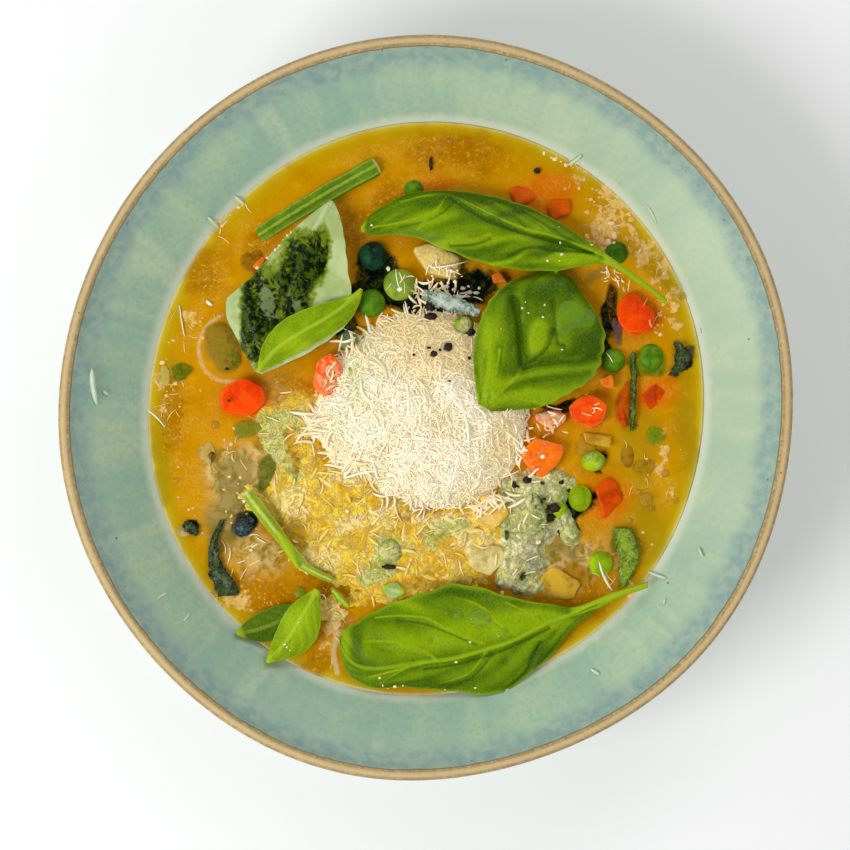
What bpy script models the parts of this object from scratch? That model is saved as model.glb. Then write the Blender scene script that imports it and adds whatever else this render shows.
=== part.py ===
"""Minestrone in a hand-thrown stoneware bowl, in metres with +Z up.

The origin lies under the middle of the bowl, on the surface that its foot ring stands on.
-Y is the side nearest the eater. Every piece of food that shows is an object of its own.
"""

import math
import random

import bmesh
import bpy
from mathutils import Matrix, Vector

MM = 0.001

# Driving dimensions
RIM_RADIUS = 110.0 * MM
BOWL_HEIGHT = 50.0 * MM
POOL_RADIUS = 86.0 * MM
BROTH_LEVEL = 31.0 * MM
FLOOR_HEIGHT = 8.6 * MM
FOOT_RADIUS = 58.2 * MM
RIM_THICKNESS = 3.4 * MM
MOUND_RADIUS = 31.0 * MM
MOUND_HEIGHT = 11.4 * MM
MOUND_CENTRE = (-1.0 * MM, -1.5 * MM)

# Space between neighbouring pieces, and the distance within which points are merged
GAP = 0.3 * MM
MERGE_DISTANCE = 0.05 * MM

# How round things are divided
BOWL_SEGMENTS = 40
MOUND_SEGMENTS = 20
MOUND_ROWS = 5
PEA_SEGMENTS = 8
PEA_RINGS = 6
BLADE_ROWS = 2
BLADE_COLUMNS = 4
GREENS_COLUMNS = 2
FOLD_COLUMNS = 3

STEM_SAMPLES = 13
BUD_SAMPLES = 5
STALK_SAMPLES = 6

# Rounding of a chunk's edges as a share of its least side; small chunks get one step.
# Each corner is drawn in to between CHUNK_LEAST_SHARE and the whole of the chunk's size.
CHUNK_ROUNDING = 0.16
CHUNK_LEAST_SHARE = 0.88
SMALL_CHUNK = 6.2

# The cheese heap: how full its section is, the lobes of its foot as (lobes round the heap,
# share of the radius, angle of a crest), and one dent as (share, angle, width)
MOUND_FULLNESS = 0.75
MOUND_LOBES = [(2, 0.05, 0.0), (3, 0.05, math.radians(-41.5))]
MOUND_DENT = (0.13, math.radians(-135), math.radians(26))

# The bowl is slightly oval: (height, share of the radius), with the long way at OVAL_ANGLE
OVAL_ANGLE = math.radians(70)
OVAL_STEPS = [(0.0, 0.0), (FLOOR_HEIGHT, 0.0), (BROTH_LEVEL, 0.020), (BOWL_HEIGHT, 0.0078)]

# Further waves of the thrown rim: (waves round the bowl, share of the radius, angle of a crest)
RIM_WAVES = [
    (3, 0.0021, math.radians(-14)),
    (5, 0.0036, math.radians(35)),
    (6, 0.0022, math.radians(19)),
]

# Inside of the bowl from the middle out to the rim, as (radius, height) in millimetres
INNER_WALL = [
    (0.0, FLOOR_HEIGHT / MM),
    (26.0, 9.0),
    (48.0, 11.2),
    (64.0, 16.0),
    (76.0, 22.6),
    (POOL_RADIUS / MM, BROTH_LEVEL / MM),
    (92.5, 36.6),
    (99.5, 42.6),
    (104.6, 47.0),
]

# Rounded rim as (distance in from the edge, distance down), in shares of the rim's thickness
RIM_SHOULDER = 0.7
RIM_ARC = [(1.0, 0.235), (0.5, 0.0), (0.1, 0.235), (0.0, RIM_SHOULDER)]

# Outside of the bowl from the rim down to the foot ring, in millimetres
OUTER_WALL = [
    (106.3, 43.0),
    (99.5, 36.0),
    (92.0, 28.6),
    (82.0, 19.6),
    (71.0, 11.6),
    (62.5, 7.0),
    (59.5, 5.2),
]

# Foot ring as (distance in from its outer edge, height), then the hollow under the bowl
FOOT_RING = [(0.0, 0.6), (0.8, 0.0), (4.8, 0.0), (5.6, 0.7), (6.8, 3.6), (FOOT_RADIUS / MM, 4.0)]

# Carrots: (x, y) of the middle, (width, depth, height), how far the top is above the broth, turn
CARROTS = {
    "carrot_1": ((-55.8, 3.1), (14.5, 12.5, 9.0), 3.8, 8),
    "carrot_2": ((-29.8, 9.9), (9.5, 14.5, 9.0), 4.2, -5),
    "carrot_3": ((64.2, 28.8), (12.5, 13.8, 7.5), 4.0, 4),
    "carrot_4": ((49.4, -1.2), (12.2, 10.8, 9.0), 4.6, -6),
    "carrot_5": ((55.2, 7.6), (5.0, 4.6, 5.0), 3.6, 12),
    "carrot_6": ((37.7, -3.4), (11.0, 6.4, 8.0), 4.0, -4),
    "carrot_7": ((35.2, -15.2), (15.5, 12.8, 9.0), 4.4, 7),
    "carrot_8": ((56.2, -27.6), (8.6, 13.0, 8.0), 1.6, 3),
    "carrot_9": ((69.6, 3.1), (8.4, 9.0, 6.5), 0.8, -7),
    "carrot_10": ((59.5, -0.4), (3.4, 11.8, 6.0), 1.6, 2),
    "carrot_11": ((29.4, 65.6), (10.2, 8.4, 6.5), 1.2, -10),
    "carrot_12": ((40.7, 60.8), (8.0, 7.0, 6.0), 1.4, 8),
    "carrot_13": ((22.4, 39.4), (4.6, 4.6, 4.6), 2.6, 20),
    "carrot_14": ((-51.2, 44.6), (4.2, 5.8, 4.0), 1.2, -25),
}

# Potatoes and a soft green chunk, in the same form
POTATOES = {
    "potato_1": ((3.7, 44.2), (18.0, 11.2, 9.0), 4.6, -24),
    "potato_2": ((52.2, -9.7), (9.4, 4.2, 7.0), 2.4, -6),
    "potato_3": ((18.7, -46.6), (12.5, 10.0, 8.0), 2.2, 10),
    "potato_4": ((41.0, -54.3), (13.0, 11.2, 7.5), 1.8, -12),
    "potato_5": ((19.2, -31.8), (12.6, 12.2, 9.0), 4.2, 18),
}
GREEN_CHUNKS = {"cooked_greens": ((32.4, -33.0), (11.0, 17.5, 8.0), 3.0, -4)}

# Peas and a sunk bean: (x, y), (width, depth, height), top above the broth
PEAS = {
    "pea_1": ((-7.9, 37.7), (10.0, 9.8, 9.6), 5.2),
    "pea_2": ((-16.7, 32.0), (8.8, 8.6, 8.4), 4.4),
    "pea_3": ((-16.2, 46.4), (8.8, 8.6, 8.0), 4.2),
    "pea_4": ((57.2, 14.4), (7.6, 7.4, 7.4), 3.6),
    "pea_5": ((69.0, 15.2), (8.4, 9.4, 7.0), 2.2),
    "pea_6": ((51.2, -16.2), (7.6, 6.4, 6.6), 3.6),
    "pea_7": ((47.2, -27.6), (7.2, 8.2, 7.0), 3.4),
    "pea_8": ((41.0, -31.0), (5.0, 5.0, 5.0), 2.6),
    "pea_9": ((53.6, -47.6), (8.0, 8.2, 7.6), 2.6),
    "pea_10": ((-3.6, 66.7), (7.2, 7.0, 6.8), 1.6),
    "pea_11": ((58.4, 47.4), (7.4, 7.2, 7.0), 2.4),
    "pea_12": ((-23.6, 20.6), (6.0, 6.0, 6.0), 4.4),
    "pea_13": ((11.7, 25.4), (6.0, 6.0, 6.0), 5.8),
    "pea_14": ((-11.2, -43.9), (9.4, 9.2, 8.6), 3.0),
    "pea_15": ((-20.6, 9.6), (7.6, 7.6, 7.6), 6.2),
}
BEANS = {"white_bean": ((61.6, -14.8), (7.2, 12.0, 6.5), 0.6)}

# Leaves from the foot of the stalk to the tip, one station a line:
# x, y, height above the broth, half width on the left and on the right, in millimetres
LEAVES = {
    "basil_leaf_top": [
        (73.1, 32.2, 4.6, 1.1, 1.1),
        (64.9, 38.2, 6.4, 1.1, 1.1),
        (54.0, 45.2, 7.2, 1.8, 1.8),
        (40.1, 50.4, 7.8, 8.9, 6.1),
        (28.6, 53.1, 8.4, 11.5, 8.9),
        (17.7, 57.4, 8.6, 13.9, 7.4),
        (7.4, 61.9, 8.0, 14.7, 3.9),
        (-4.8, 61.9, 6.4, 9.8, 3.3),
        (-15.4, 56.6, 5.0, 4.2, 3.2),
        (-19.6, 54.4, 4.4, 0.9, 0.9),
    ],
    "basil_leaf_right": [
        (17.7, 0.1, 7.6, 2.2, 2.6),
        (21.5, 7.1, 9.2, 8.0, 14.5),
        (25.2, 14.1, 10.2, 12.0, 20.4),
        (29.0, 21.0, 10.4, 13.8, 24.4),
        (32.7, 28.0, 9.6, 13.4, 24.0),
        (36.5, 35.0, 7.4, 9.4, 19.6),
        (40.3, 41.6, 4.4, 1.2, 5.0),
    ],
    "basil_leaf_bottom": [
        (67.3, -53.7, 4.4, 1.0, 1.0),
        (56.6, -57.4, 4.4, 1.3, 1.3),
        (45.4, -62.2, 4.4, 4.4, 1.8),
        (37.5, -65.0, 4.4, 10.9, 5.5),
        (26.5, -70.4, 4.2, 14.6, 12.8),
        (18.3, -73.2, 4.0, 14.0, 18.2),
        (8.6, -75.9, 3.8, 10.3, 22.5),
        (-0.2, -77.1, 3.6, 8.5, 21.0),
        (-7.8, -78.3, 3.4, 6.7, 19.8),
        (-15.4, -79.3, 3.2, 6.1, 17.6),
        (-20.9, -78.3, 3.0, 4.9, 13.2),
        (-24.2, -75.3, 2.8, 4.9, 8.2),
        (-26.2, -71.3, 2.6, 1.8, 1.8),
    ],
    "basil_leaf_folded": [
        (-50.8, 10.7, 4.8, 1.2, 1.2),
        (-44.8, 23.4, 4.6, 15.0, 13.0),
        (-40.5, 35.5, 5.0, 14.0, 19.2),
        (-36.3, 49.2, 5.4, 6.7, 13.6),
        (-31.4, 58.3, 5.0, 2.8, 6.5),
        (-28.4, 62.8, 4.2, 0.7, 0.7),
    ],
    "sprig_leaf_bright": [
        (-32.8, -55.2, 4.6, 1.0, 1.0),
        (-37.4, -62.9, 5.2, 6.4, 4.6),
        (-41.9, -70.2, 4.8, 6.6, 4.2),
        (-48.0, -77.3, 4.6, 0.7, 0.7),
    ],
    "sprig_leaf_dark": [
        (-38.6, -60.5, 1.8, 1.0, 1.0),
        (-43.4, -64.4, 1.8, 4.4, 4.6),
        (-51.0, -67.4, 2.2, 4.4, 4.2),
        (-57.4, -68.6, 3.2, 0.7, 0.7),
    ],
    "sprig_leaflet": [
        (-44.9, -37.2, 6.0, 0.6, 0.6),
        (-41.8, -42.2, 6.0, 1.7, 1.5),
        (-38.6, -48.4, 5.6, 0.6, 0.6),
    ],
    "leaf_scrap": [
        (-13.2, -54.6, 0.9, 0.8, 0.8),
        (-9.8, -55.6, 1.2, 2.4, 2.6),
        (-6.4, -56.4, 0.9, 0.8, 0.8),
    ],
}

# How far a leaf's left and right edges lie above or below its midrib, in millimetres, and
# the way that its left half runs, in degrees from +X
LEAF_FORMS = {
    "basil_leaf_top": (-0.6, -4.0, -90),
    "basil_leaf_right": (-3.0, -3.6, 151),
    "basil_leaf_bottom": (-1.4, 0.8, -90),
    "basil_leaf_folded": (-1.6, 0.8, 157),
    "sprig_leaf_bright": (-1.2, -1.0, -33),
    "sprig_leaf_dark": (0.0, 0.0, -65),
    "sprig_leaflet": (-0.4, -0.4, 29),
    "leaf_scrap": (0.2, 0.4, 75),
}

# How far the right edge of the pale leaf is folded back over it at each of its stations
FOLD_WIDTHS = [1.2, 8.8, 3.4, 0.9, 0.9, 0.9]
FOLD_RISE = 1.7 * MM

# Cooked greens that lie on the broth, as stations like the leaves'
GREENS = {
    "dark_leaf_strip": [
        (-60.0, -34.2, 1.0, 1.8, 1.8),
        (-61.8, -42.0, 1.4, 3.0, 2.4),
        (-61.6, -50.0, 1.2, 4.2, 3.8),
        (-60.8, -57.0, 1.0, 2.8, 3.0),
    ],
    "dark_leaf_knot": [
        (-53.0, -33.4, 1.2, 1.4, 1.4),
        (-55.4, -36.2, 1.8, 3.0, 3.2),
        (-57.2, -39.0, 1.2, 1.0, 1.0),
    ],
    "dark_leaf_crescent": [
        (75.2, 10.6, 0.9, 0.9, 0.9),
        (77.6, 14.6, 1.6, 2.2, 3.0),
        (77.0, 19.8, 1.0, 1.4, 1.4),
    ],
    "dark_leaf_thread": [
        (63.2, 17.0, 1.0, 0.8, 0.8),
        (63.4, 5.0, 1.6, 1.0, 1.0),
        (62.9, -7.0, 1.0, 0.7, 0.7),
    ],
    "green_leaf_edge": [
        (59.4, -37.6, 1.2, 2.6, 1.6),
        (61.8, -43.0, 2.2, 3.2, 2.4),
        (61.4, -48.4, 1.6, 2.4, 2.0),
        (60.0, -54.2, 1.2, 1.2, 1.2),
    ],
    "dark_leaf_scrap": [
        (-74.0, -35.2, 0.9, 1.0, 1.0),
        (-71.6, -36.8, 1.3, 1.9, 1.9),
        (-69.6, -38.6, 0.9, 0.8, 0.8),
    ],
    "cheesy_leaf_strip": [
        (-0.6, 34.6, 4.4, 1.4, 1.6),
        (5.6, 32.4, 5.6, 2.4, 2.6),
        (12.4, 30.6, 5.4, 1.6, 2.8),
        (16.4, 29.0, 4.8, 1.2, 1.4),
    ],
}
GREENS_RIPPLE = 0.45 * MM

# Angle that the greens' ripple turns through along a piece, and from its midrib to its edge
RIPPLE_RUN = 17.0
RIPPLE_SLANT = 2.0

# Thin pieces
BLADE_THICKNESS = 0.8 * MM
REST_CLEARANCE = 0.5 * MM

# Half width of a leaf from which its edges lift in full
FULL_LIFT_WIDTH = 8.0 * MM

# The sprig's stem, its bud and the ribbed stalk: x, y, height above the broth, radius
SPRIG_STEM = [
    (-54.7, -25.2, 3.6, 1.6),
    (-50.5, -31.0, 3.4, 1.8),
    (-46.5, -36.1, 3.0, 1.7),
    (-42.2, -41.9, 2.8, 1.5),
    (-38.0, -47.1, 2.8, 1.6),
    (-34.9, -49.4, 2.6, 1.1),
    (-28.2, -52.6, 2.0, 0.9),
]
SPRIG_BUD = [(-28.4, -55.4, 2.2, 0.7), (-25.8, -58.2, 2.6, 1.1), (-23.4, -60.6, 2.2, 0.6)]
GREEN_STALK = [
    (-14.6, 74.2, 0.2, 2.7),
    (-26.5, 67.6, 0.0, 2.9),
    (-39.0, 60.2, -0.2, 2.9),
    (-51.3, 52.6, -0.4, 2.8),
]
STALK_RIBS = 5
STALK_RIB_DEPTH = 0.16

# Colours as linear values, with roughness
FINISHES = {
    "bowl": ((0.33, 0.48, 0.38), 0.30),
    "broth": ((0.55, 0.24, 0.01), 0.12),
    "cheese": ((0.93, 0.86, 0.66), 0.60),
    "basil": ((0.10, 0.24, 0.01), 0.32),
    "pale_leaf": ((0.40, 0.50, 0.22), 0.50),
    "stalk": ((0.14, 0.30, 0.02), 0.38),
    "carrot": ((0.92, 0.11, 0.00), 0.30),
    "potato": ((0.72, 0.52, 0.14), 0.42),
    "pea": ((0.20, 0.38, 0.04), 0.32),
    "bean": ((0.36, 0.19, 0.01), 0.36),
    "greens": ((0.02, 0.07, 0.03), 0.30),
}

parts = bpy.data.collections.new("minestrone_in_bowl")
cutters = bpy.data.collections.new("cutters")
pockets = bpy.data.collections.new("pockets")


def clear_scene():
    for item in list(bpy.data.objects):
        bpy.data.objects.remove(item)


def finish_of(name):
    """One plain material for each finish, made when it is first asked for."""
    found = bpy.data.materials.get(name)
    if found:
        return found
    colour, roughness = FINISHES[name]
    made = bpy.data.materials.new(name)
    made.use_nodes = True
    shader = made.node_tree.nodes["Principled BSDF"]
    shader.inputs["Base Color"].default_value = (*colour, 1.0)
    shader.inputs["Roughness"].default_value = roughness
    shader.inputs["Metallic"].default_value = 0.0
    return made


def add_object(name, data, finish, collection):
    made = bpy.data.objects.new(name, data)
    collection.objects.link(made)
    if finish:
        data.materials.append(finish_of(finish))
    return made


def add_from_bmesh(name, shape, finish, collection=parts):
    data = bpy.data.meshes.new(name)
    shape.to_mesh(data)
    shape.free()
    data.shade_smooth()
    return add_object(name, data, finish, collection)


def evaluated_copy(source):
    """The mesh of an object with its modifiers applied, as a BMesh in world space."""
    bpy.context.view_layer.update()
    graph = bpy.context.evaluated_depsgraph_get()
    data = bpy.data.meshes.new_from_object(source.evaluated_get(graph))
    shape = bmesh.new()
    shape.from_mesh(data)
    shape.transform(source.matrix_world)
    bpy.data.meshes.remove(data)
    return shape


def smooth_value(values, share):
    """A value or point at a share from 0 to 1 along evenly spaced ones, on a Catmull-Rom curve."""
    last = len(values) - 1
    place = share * last
    first = min(int(place), last - 1)
    t = place - first
    a = values[max(first - 1, 0)]
    b = values[first]
    c = values[first + 1]
    d = values[min(first + 2, last)]
    bend = (2 * a - 5 * b + 4 * c - d) * t * t + (3 * b - a - 3 * c + d) * t * t * t
    return 0.5 * (2 * b + (c - a) * t + bend)


def straight_value(steps, place):
    """The value at a place on straight lines between (place, value) steps."""
    for (low, start), (high, end) in zip(steps, steps[1:]):
        if place <= high:
            return start + (end - start) * (place - low) / (high - low)
    return steps[-1][1]


def summed_waves(waves, angle):
    """The sum of (count round a circle, share, angle of a crest) waves at an angle."""
    return sum(share * math.cos(count * (angle - crest)) for count, share, crest in waves)


def thrown_factor(angle, height):
    """How much wider than a true circle the bowl is at this angle and height."""
    oval = straight_value(OVAL_STEPS, height) * math.cos(2 * (angle - OVAL_ANGLE))
    full = min(height / BOWL_HEIGHT, 1.0)
    return 1 + oval + summed_waves(RIM_WAVES, angle) * full * full


def thrown_point(point):
    angle = math.atan2(point.y, point.x)
    factor = thrown_factor(angle, point.z)
    return Vector((point.x * factor, point.y * factor, point.z))


def rim_middle():
    """The middle of the thrown rim's box, which is moved onto the origin's axis."""
    angles = [2 * math.pi * step / BOWL_SEGMENTS for step in range(BOWL_SEGMENTS)]
    widest_height = BOWL_HEIGHT - RIM_SHOULDER * RIM_THICKNESS
    reach = [RIM_RADIUS * thrown_factor(angle, widest_height) for angle in angles]
    xs = [radius * math.cos(angle) for radius, angle in zip(reach, angles)]
    ys = [radius * math.sin(angle) for radius, angle in zip(reach, angles)]
    return Vector(((min(xs) + max(xs)) / 2, (min(ys) + max(ys)) / 2, 0.0))


def turned_shape(profile, segments):
    """A closed solid turned about Z from (radius, height) points that end on the axis."""
    shape = bmesh.new()
    rows = [shape.verts.new((radius, 0.0, height)) for radius, height in profile]
    for low, high in zip(rows, rows[1:]):
        shape.edges.new((low, high))
    helper = add_from_bmesh("profile", shape, None, cutters)
    screw = helper.modifiers.new("turn", "SCREW")
    screw.steps = segments
    screw.render_steps = segments
    screw.use_merge_vertices = True
    screw.merge_threshold = MERGE_DISTANCE
    turned = evaluated_copy(helper)
    bpy.data.objects.remove(helper)
    return turned


def bowl_profile():
    """Inside from the middle to the rim, the rounded rim, the outside, then the foot ring."""
    inside = [(radius * MM, height * MM) for radius, height in INNER_WALL]
    outside = [(radius * MM, height * MM) for radius, height in OUTER_WALL]
    rim = [
        (RIM_RADIUS - inward * RIM_THICKNESS, BOWL_HEIGHT - down * RIM_THICKNESS)
        for inward, down in RIM_ARC
    ]
    foot = [(FOOT_RADIUS - inward * MM, height * MM) for inward, height in FOOT_RING]
    return inside + rim + outside + foot


def make_bowl(shift):
    shape = turned_shape(bowl_profile(), BOWL_SEGMENTS)
    for vertex in shape.verts:
        vertex.co = thrown_point(vertex.co) - shift
    add_from_bmesh("bowl", shape, "bowl")


def broth_profile():
    """The top of the broth from the middle out, then the bowl's inside moved in by the gap."""
    below = [(radius * MM, height * MM) for radius, height in INNER_WALL]
    below = [point for point in below if 0 < point[0] < POOL_RADIUS]
    points = [(0.0, BROTH_LEVEL), (POOL_RADIUS - 2 * GAP, BROTH_LEVEL)]
    for radius, height in reversed(below):
        points.append((radius - GAP, height + GAP))
    points.append((0.0, FLOOR_HEIGHT + GAP))
    return points


def make_broth(shift):
    shape = turned_shape(broth_profile(), BOWL_SEGMENTS)
    for vertex in shape.verts:
        vertex.co = thrown_point(vertex.co) - shift
    cut_pockets(add_from_bmesh("broth", shape, "broth"))


def cut_pockets(solid):
    cut = solid.modifiers.new("pockets", "BOOLEAN")
    cut.operation = "DIFFERENCE"
    cut.solver = "EXACT"
    cut.operand_type = "COLLECTION"
    cut.collection = pockets


def wall_height(x, y):
    """Height of the bowl's inside under a point, with the oval allowed for."""
    radius = math.hypot(x, y)
    steps = [(along * MM, height * MM) for along, height in INNER_WALL]
    oval = math.cos(2 * (math.atan2(y, x) - OVAL_ANGLE)) * OVAL_STEPS[2][1]
    return straight_value(steps, radius / (1 + oval))


def mound_reach(angle):
    """Radius of the cheese heap's uneven foot."""
    depth, middle, width = MOUND_DENT
    dent = depth * math.exp(-((math.remainder(angle - middle, 2 * math.pi) / width) ** 2))
    return MOUND_RADIUS * (1 + summed_waves(MOUND_LOBES, angle) - dent)


def mound_section(share):
    """Height of the heap, as a share of its full height, at a share of its reach."""
    return (1 - min(share, 1.0) ** 2) ** MOUND_FULLNESS


def mound_height(x, y):
    """Height of the cheese heap above the broth."""
    away = Vector((x - MOUND_CENTRE[0], y - MOUND_CENTRE[1]))
    share = away.length / mound_reach(math.atan2(away.y, away.x))
    return MOUND_HEIGHT * mound_section(share)


def resting_height(x, y):
    """What a leaf lies on: the broth, the cheese or the bowl's wall."""
    return max(BROTH_LEVEL + mound_height(x, y), wall_height(x, y)) + REST_CLEARANCE


def make_mound():
    shares = [row / MOUND_ROWS for row in range(MOUND_ROWS + 1)]
    profile = [(share, mound_section(share)) for share in shares] + [(0.0, 0.0)]
    shape = turned_shape(profile, MOUND_SEGMENTS)
    for vertex in shape.verts:
        angle = math.atan2(vertex.co.y, vertex.co.x)
        reach = mound_reach(angle)
        vertex.co.x = MOUND_CENTRE[0] + vertex.co.x * reach
        vertex.co.y = MOUND_CENTRE[1] + vertex.co.y * reach
        vertex.co.z = BROTH_LEVEL + GAP + vertex.co.z * (MOUND_HEIGHT - GAP)
    cut_pockets(add_from_bmesh("cheese_mound", shape, "cheese"))


def corner_between(way, reach, next_way, next_reach):
    """Where two upright planes meet, each given by its facing way and its distance."""
    turn = way.x * next_way.y - way.y * next_way.x
    x = (reach * next_way.y - next_reach * way.y) / turn
    y = (next_reach * way.x - reach * next_way.x) / turn
    return x, y


def make_pocket(source, turn):
    """An upright eight-sided hollow with a gap all round the piece, for the broth and cheese."""
    shape = evaluated_copy(source)
    angles = [math.radians(turn + 45 * side) for side in range(8)]
    ways = [Vector((math.cos(angle), math.sin(angle))) for angle in angles]
    reaches = [max(vertex.co.xy.dot(way) for vertex in shape.verts) + GAP for way in ways]
    low = min(vertex.co.z for vertex in shape.verts) - GAP
    shape.free()
    hollow = bmesh.new()
    around = []
    for side in range(8):
        following = (side + 1) % 8
        x, y = corner_between(ways[side], reaches[side], ways[following], reaches[following])
        around.append(hollow.verts.new((x, y, low)))
    raised = bmesh.ops.extrude_face_region(hollow, geom=[hollow.faces.new(around)])
    top = [item for item in raised["geom"] if isinstance(item, bmesh.types.BMVert)]
    bmesh.ops.translate(hollow, verts=top, vec=(0.0, 0.0, BOWL_HEIGHT - low))
    bmesh.ops.recalc_face_normals(hollow, faces=hollow.faces)
    pocket = add_from_bmesh("pocket_" + source.name, hollow, None, pockets)
    pocket.hide_render = True
    pocket.display_type = "WIRE"


def set_top(shape, place, top):
    """Moves a shape so that its middle is at the place and its highest point at the top."""
    highest = max(vertex.co.z for vertex in shape.verts)
    height = BROTH_LEVEL + top * MM - highest
    bmesh.ops.translate(shape, verts=shape.verts, vec=(place[0] * MM, place[1] * MM, height))


def make_chunk(name, place, size, top, turn, finish):
    """A hand-cut cube: uneven corners and rounded edges, turned by degrees about Z."""
    shape = bmesh.new()
    bmesh.ops.create_cube(shape, size=1.0)
    uneven = random.Random(name)
    for vertex in shape.verts:
        for axis in range(3):
            vertex.co[axis] *= size[axis] * MM * uneven.uniform(CHUNK_LEAST_SHARE, 1.0)
    bmesh.ops.rotate(shape, verts=shape.verts, matrix=Matrix.Rotation(math.radians(turn), 3, "Z"))
    set_top(shape, place, top)
    chunk = add_from_bmesh(name, shape, finish)
    edges = chunk.modifiers.new("rounded edges", "BEVEL")
    edges.width = CHUNK_ROUNDING * min(size) * MM
    edges.segments = 2 if min(size) > SMALL_CHUNK else 1
    edges.limit_method = "NONE"
    make_pocket(chunk, turn)


def make_pea(name, place, size, top, finish):
    shape = bmesh.new()
    bmesh.ops.create_uvsphere(shape, u_segments=PEA_SEGMENTS, v_segments=PEA_RINGS, radius=0.5 * MM)
    bmesh.ops.scale(shape, verts=shape.verts, vec=size)
    set_top(shape, place, top)
    make_pocket(add_from_bmesh(name, shape, finish), 0.0)


def left_way(stations):
    """The level direction to the left of a strip, from its first to its last station."""
    run = Vector(stations[-1][:2]) - Vector(stations[0][:2])
    return math.degrees(math.atan2(run.x, -run.y))


def blade_point(stations, along, across, form, ripple):
    """A point of a leaf: along its midrib from 0 to 1, and across it from -1 to 1.

    The edge curves away from the midrib by the square of across, and the blade never
    comes lower than what it rests on.
    """
    path = [Vector(station[:3]) * MM for station in stations]
    left_side = across > 0
    widths = [station[3 if left_side else 4] * MM for station in stations]
    width = smooth_value(widths, along)
    centre = smooth_value(path, along)
    way = math.radians(form[2])
    point = centre + Vector((math.cos(way), math.sin(way), 0.0)) * width * across
    lift = form[0 if left_side else 1] * MM * min(width / FULL_LIFT_WIDTH, 1.0)
    wave = ripple * math.sin(RIPPLE_RUN * along + RIPPLE_SLANT * across) * abs(across)
    height = BROTH_LEVEL + centre.z + lift * across * across + wave
    point.z = max(height, resting_height(point.x, point.y) + BLADE_THICKNESS / 2)
    return point


def fold_offset(along, column, form):
    """From the leaf's right edge straight up, then back over the blade, for columns 1 to 3."""
    back = smooth_value(FOLD_WIDTHS, along) * MM * (column - 1) / (FOLD_COLUMNS - 1)
    way = math.radians(form[2])
    return Vector((math.cos(way) * back, math.sin(way) * back, FOLD_RISE))


def make_blade(name, stations, finish, form, ripple=0.0, columns=BLADE_COLUMNS, folds=0):
    """A leaf: a grid laid along the stations and given its thickness afterwards."""
    rows = BLADE_ROWS * (len(stations) - 1)
    shape = bmesh.new()
    bmesh.ops.create_grid(shape, x_segments=rows, y_segments=columns + folds, size=0.5)
    for vertex in shape.verts:
        along = vertex.co.x + 0.5
        column = round((0.5 - vertex.co.y) * (columns + folds))
        across = max(1 - 2 * column / columns, -1.0)
        vertex.co = blade_point(stations, along, across, form, ripple)
        if column > columns:
            vertex.co += fold_offset(along, column - columns, form)
    blade = add_from_bmesh(name, shape, finish)
    shell = blade.modifiers.new("thickness", "SOLIDIFY")
    shell.thickness = BLADE_THICKNESS
    shell.offset = 0.0


def ribbed_outline():
    """The cross-section of the stalk, a circle with rounded ribs, as a closed curve."""
    data = bpy.data.curves.new("ribbed outline", "CURVE")
    data.dimensions = "2D"
    sides = 3 * STALK_RIBS
    line = data.splines.new("POLY")
    line.points.add(sides - 1)
    for index, point in enumerate(line.points):
        angle = 2 * math.pi * index / sides
        radius = 1 + STALK_RIB_DEPTH * math.cos(STALK_RIBS * angle)
        point.co = (radius * math.cos(angle), radius * math.sin(angle), 0.0, 1.0)
    line.use_cyclic_u = True
    outline = add_object("ribbed_outline", data, None, cutters)
    outline.hide_render = True
    outline.display_type = "WIRE"
    return outline


def make_rod(name, stations, samples, finish, outline=None):
    """A tapering rod along (x, y, height, radius) stations, made a mesh with closed ends."""
    data = bpy.data.curves.new(name, "CURVE")
    data.dimensions = "3D"
    data.twist_mode = "Z_UP"
    data.use_fill_caps = True
    line = data.splines.new("POLY")
    line.points.add(samples - 1)
    path = [Vector(station[:3]) * MM for station in stations]
    radii = [station[3] * MM for station in stations]
    for index, point in enumerate(line.points):
        share = index / (samples - 1)
        place = smooth_value(path, share)
        point.co = (place.x, place.y, place.z + BROTH_LEVEL, 1.0)
        point.radius = smooth_value(radii, share)
    if outline:
        data.bevel_mode = "OBJECT"
        data.bevel_object = outline
    else:
        data.bevel_depth = 1.0
        data.bevel_resolution = 2
    curve = add_object(name + "_path", data, None, cutters)
    shape = evaluated_copy(curve)
    bpy.data.objects.remove(curve)
    bmesh.ops.remove_doubles(shape, verts=shape.verts, dist=MERGE_DISTANCE)
    bmesh.ops.recalc_face_normals(shape, faces=shape.faces)
    return add_from_bmesh(name, shape, finish)


def make_sprig():
    make_rod("sprig_stem", SPRIG_STEM, STEM_SAMPLES, "stalk")
    make_rod("sprig_bud", SPRIG_BUD, BUD_SAMPLES, "basil")


def make_vegetables():
    for name, (place, size, top, turn) in CARROTS.items():
        make_chunk(name, place, size, top, turn, "carrot")
    for name, (place, size, top, turn) in POTATOES.items():
        make_chunk(name, place, size, top, turn, "potato")
    for name, (place, size, top, turn) in GREEN_CHUNKS.items():
        make_chunk(name, place, size, top, turn, "greens")
    for name, (place, size, top) in PEAS.items():
        make_pea(name, place, size, top, "pea")
    for name, (place, size, top) in BEANS.items():
        make_pea(name, place, size, top, "bean")
    stalk = make_rod("green_stalk", GREEN_STALK, STALK_SAMPLES, "stalk", ribbed_outline())
    run = Vector(GREEN_STALK[-1][:2]) - Vector(GREEN_STALK[0][:2])
    make_pocket(stalk, math.degrees(math.atan2(run.y, run.x)))


def make_leaves():
    for name, stations in LEAVES.items():
        folded = name == "basil_leaf_folded"
        finish = "pale_leaf" if folded else "basil"
        make_blade(name, stations, finish, LEAF_FORMS[name], folds=FOLD_COLUMNS if folded else 0)
    for name, stations in GREENS.items():
        form = (0.0, 0.0, left_way(stations))
        make_blade(name, stations, "greens", form, GREENS_RIPPLE, GREENS_COLUMNS)


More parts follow.
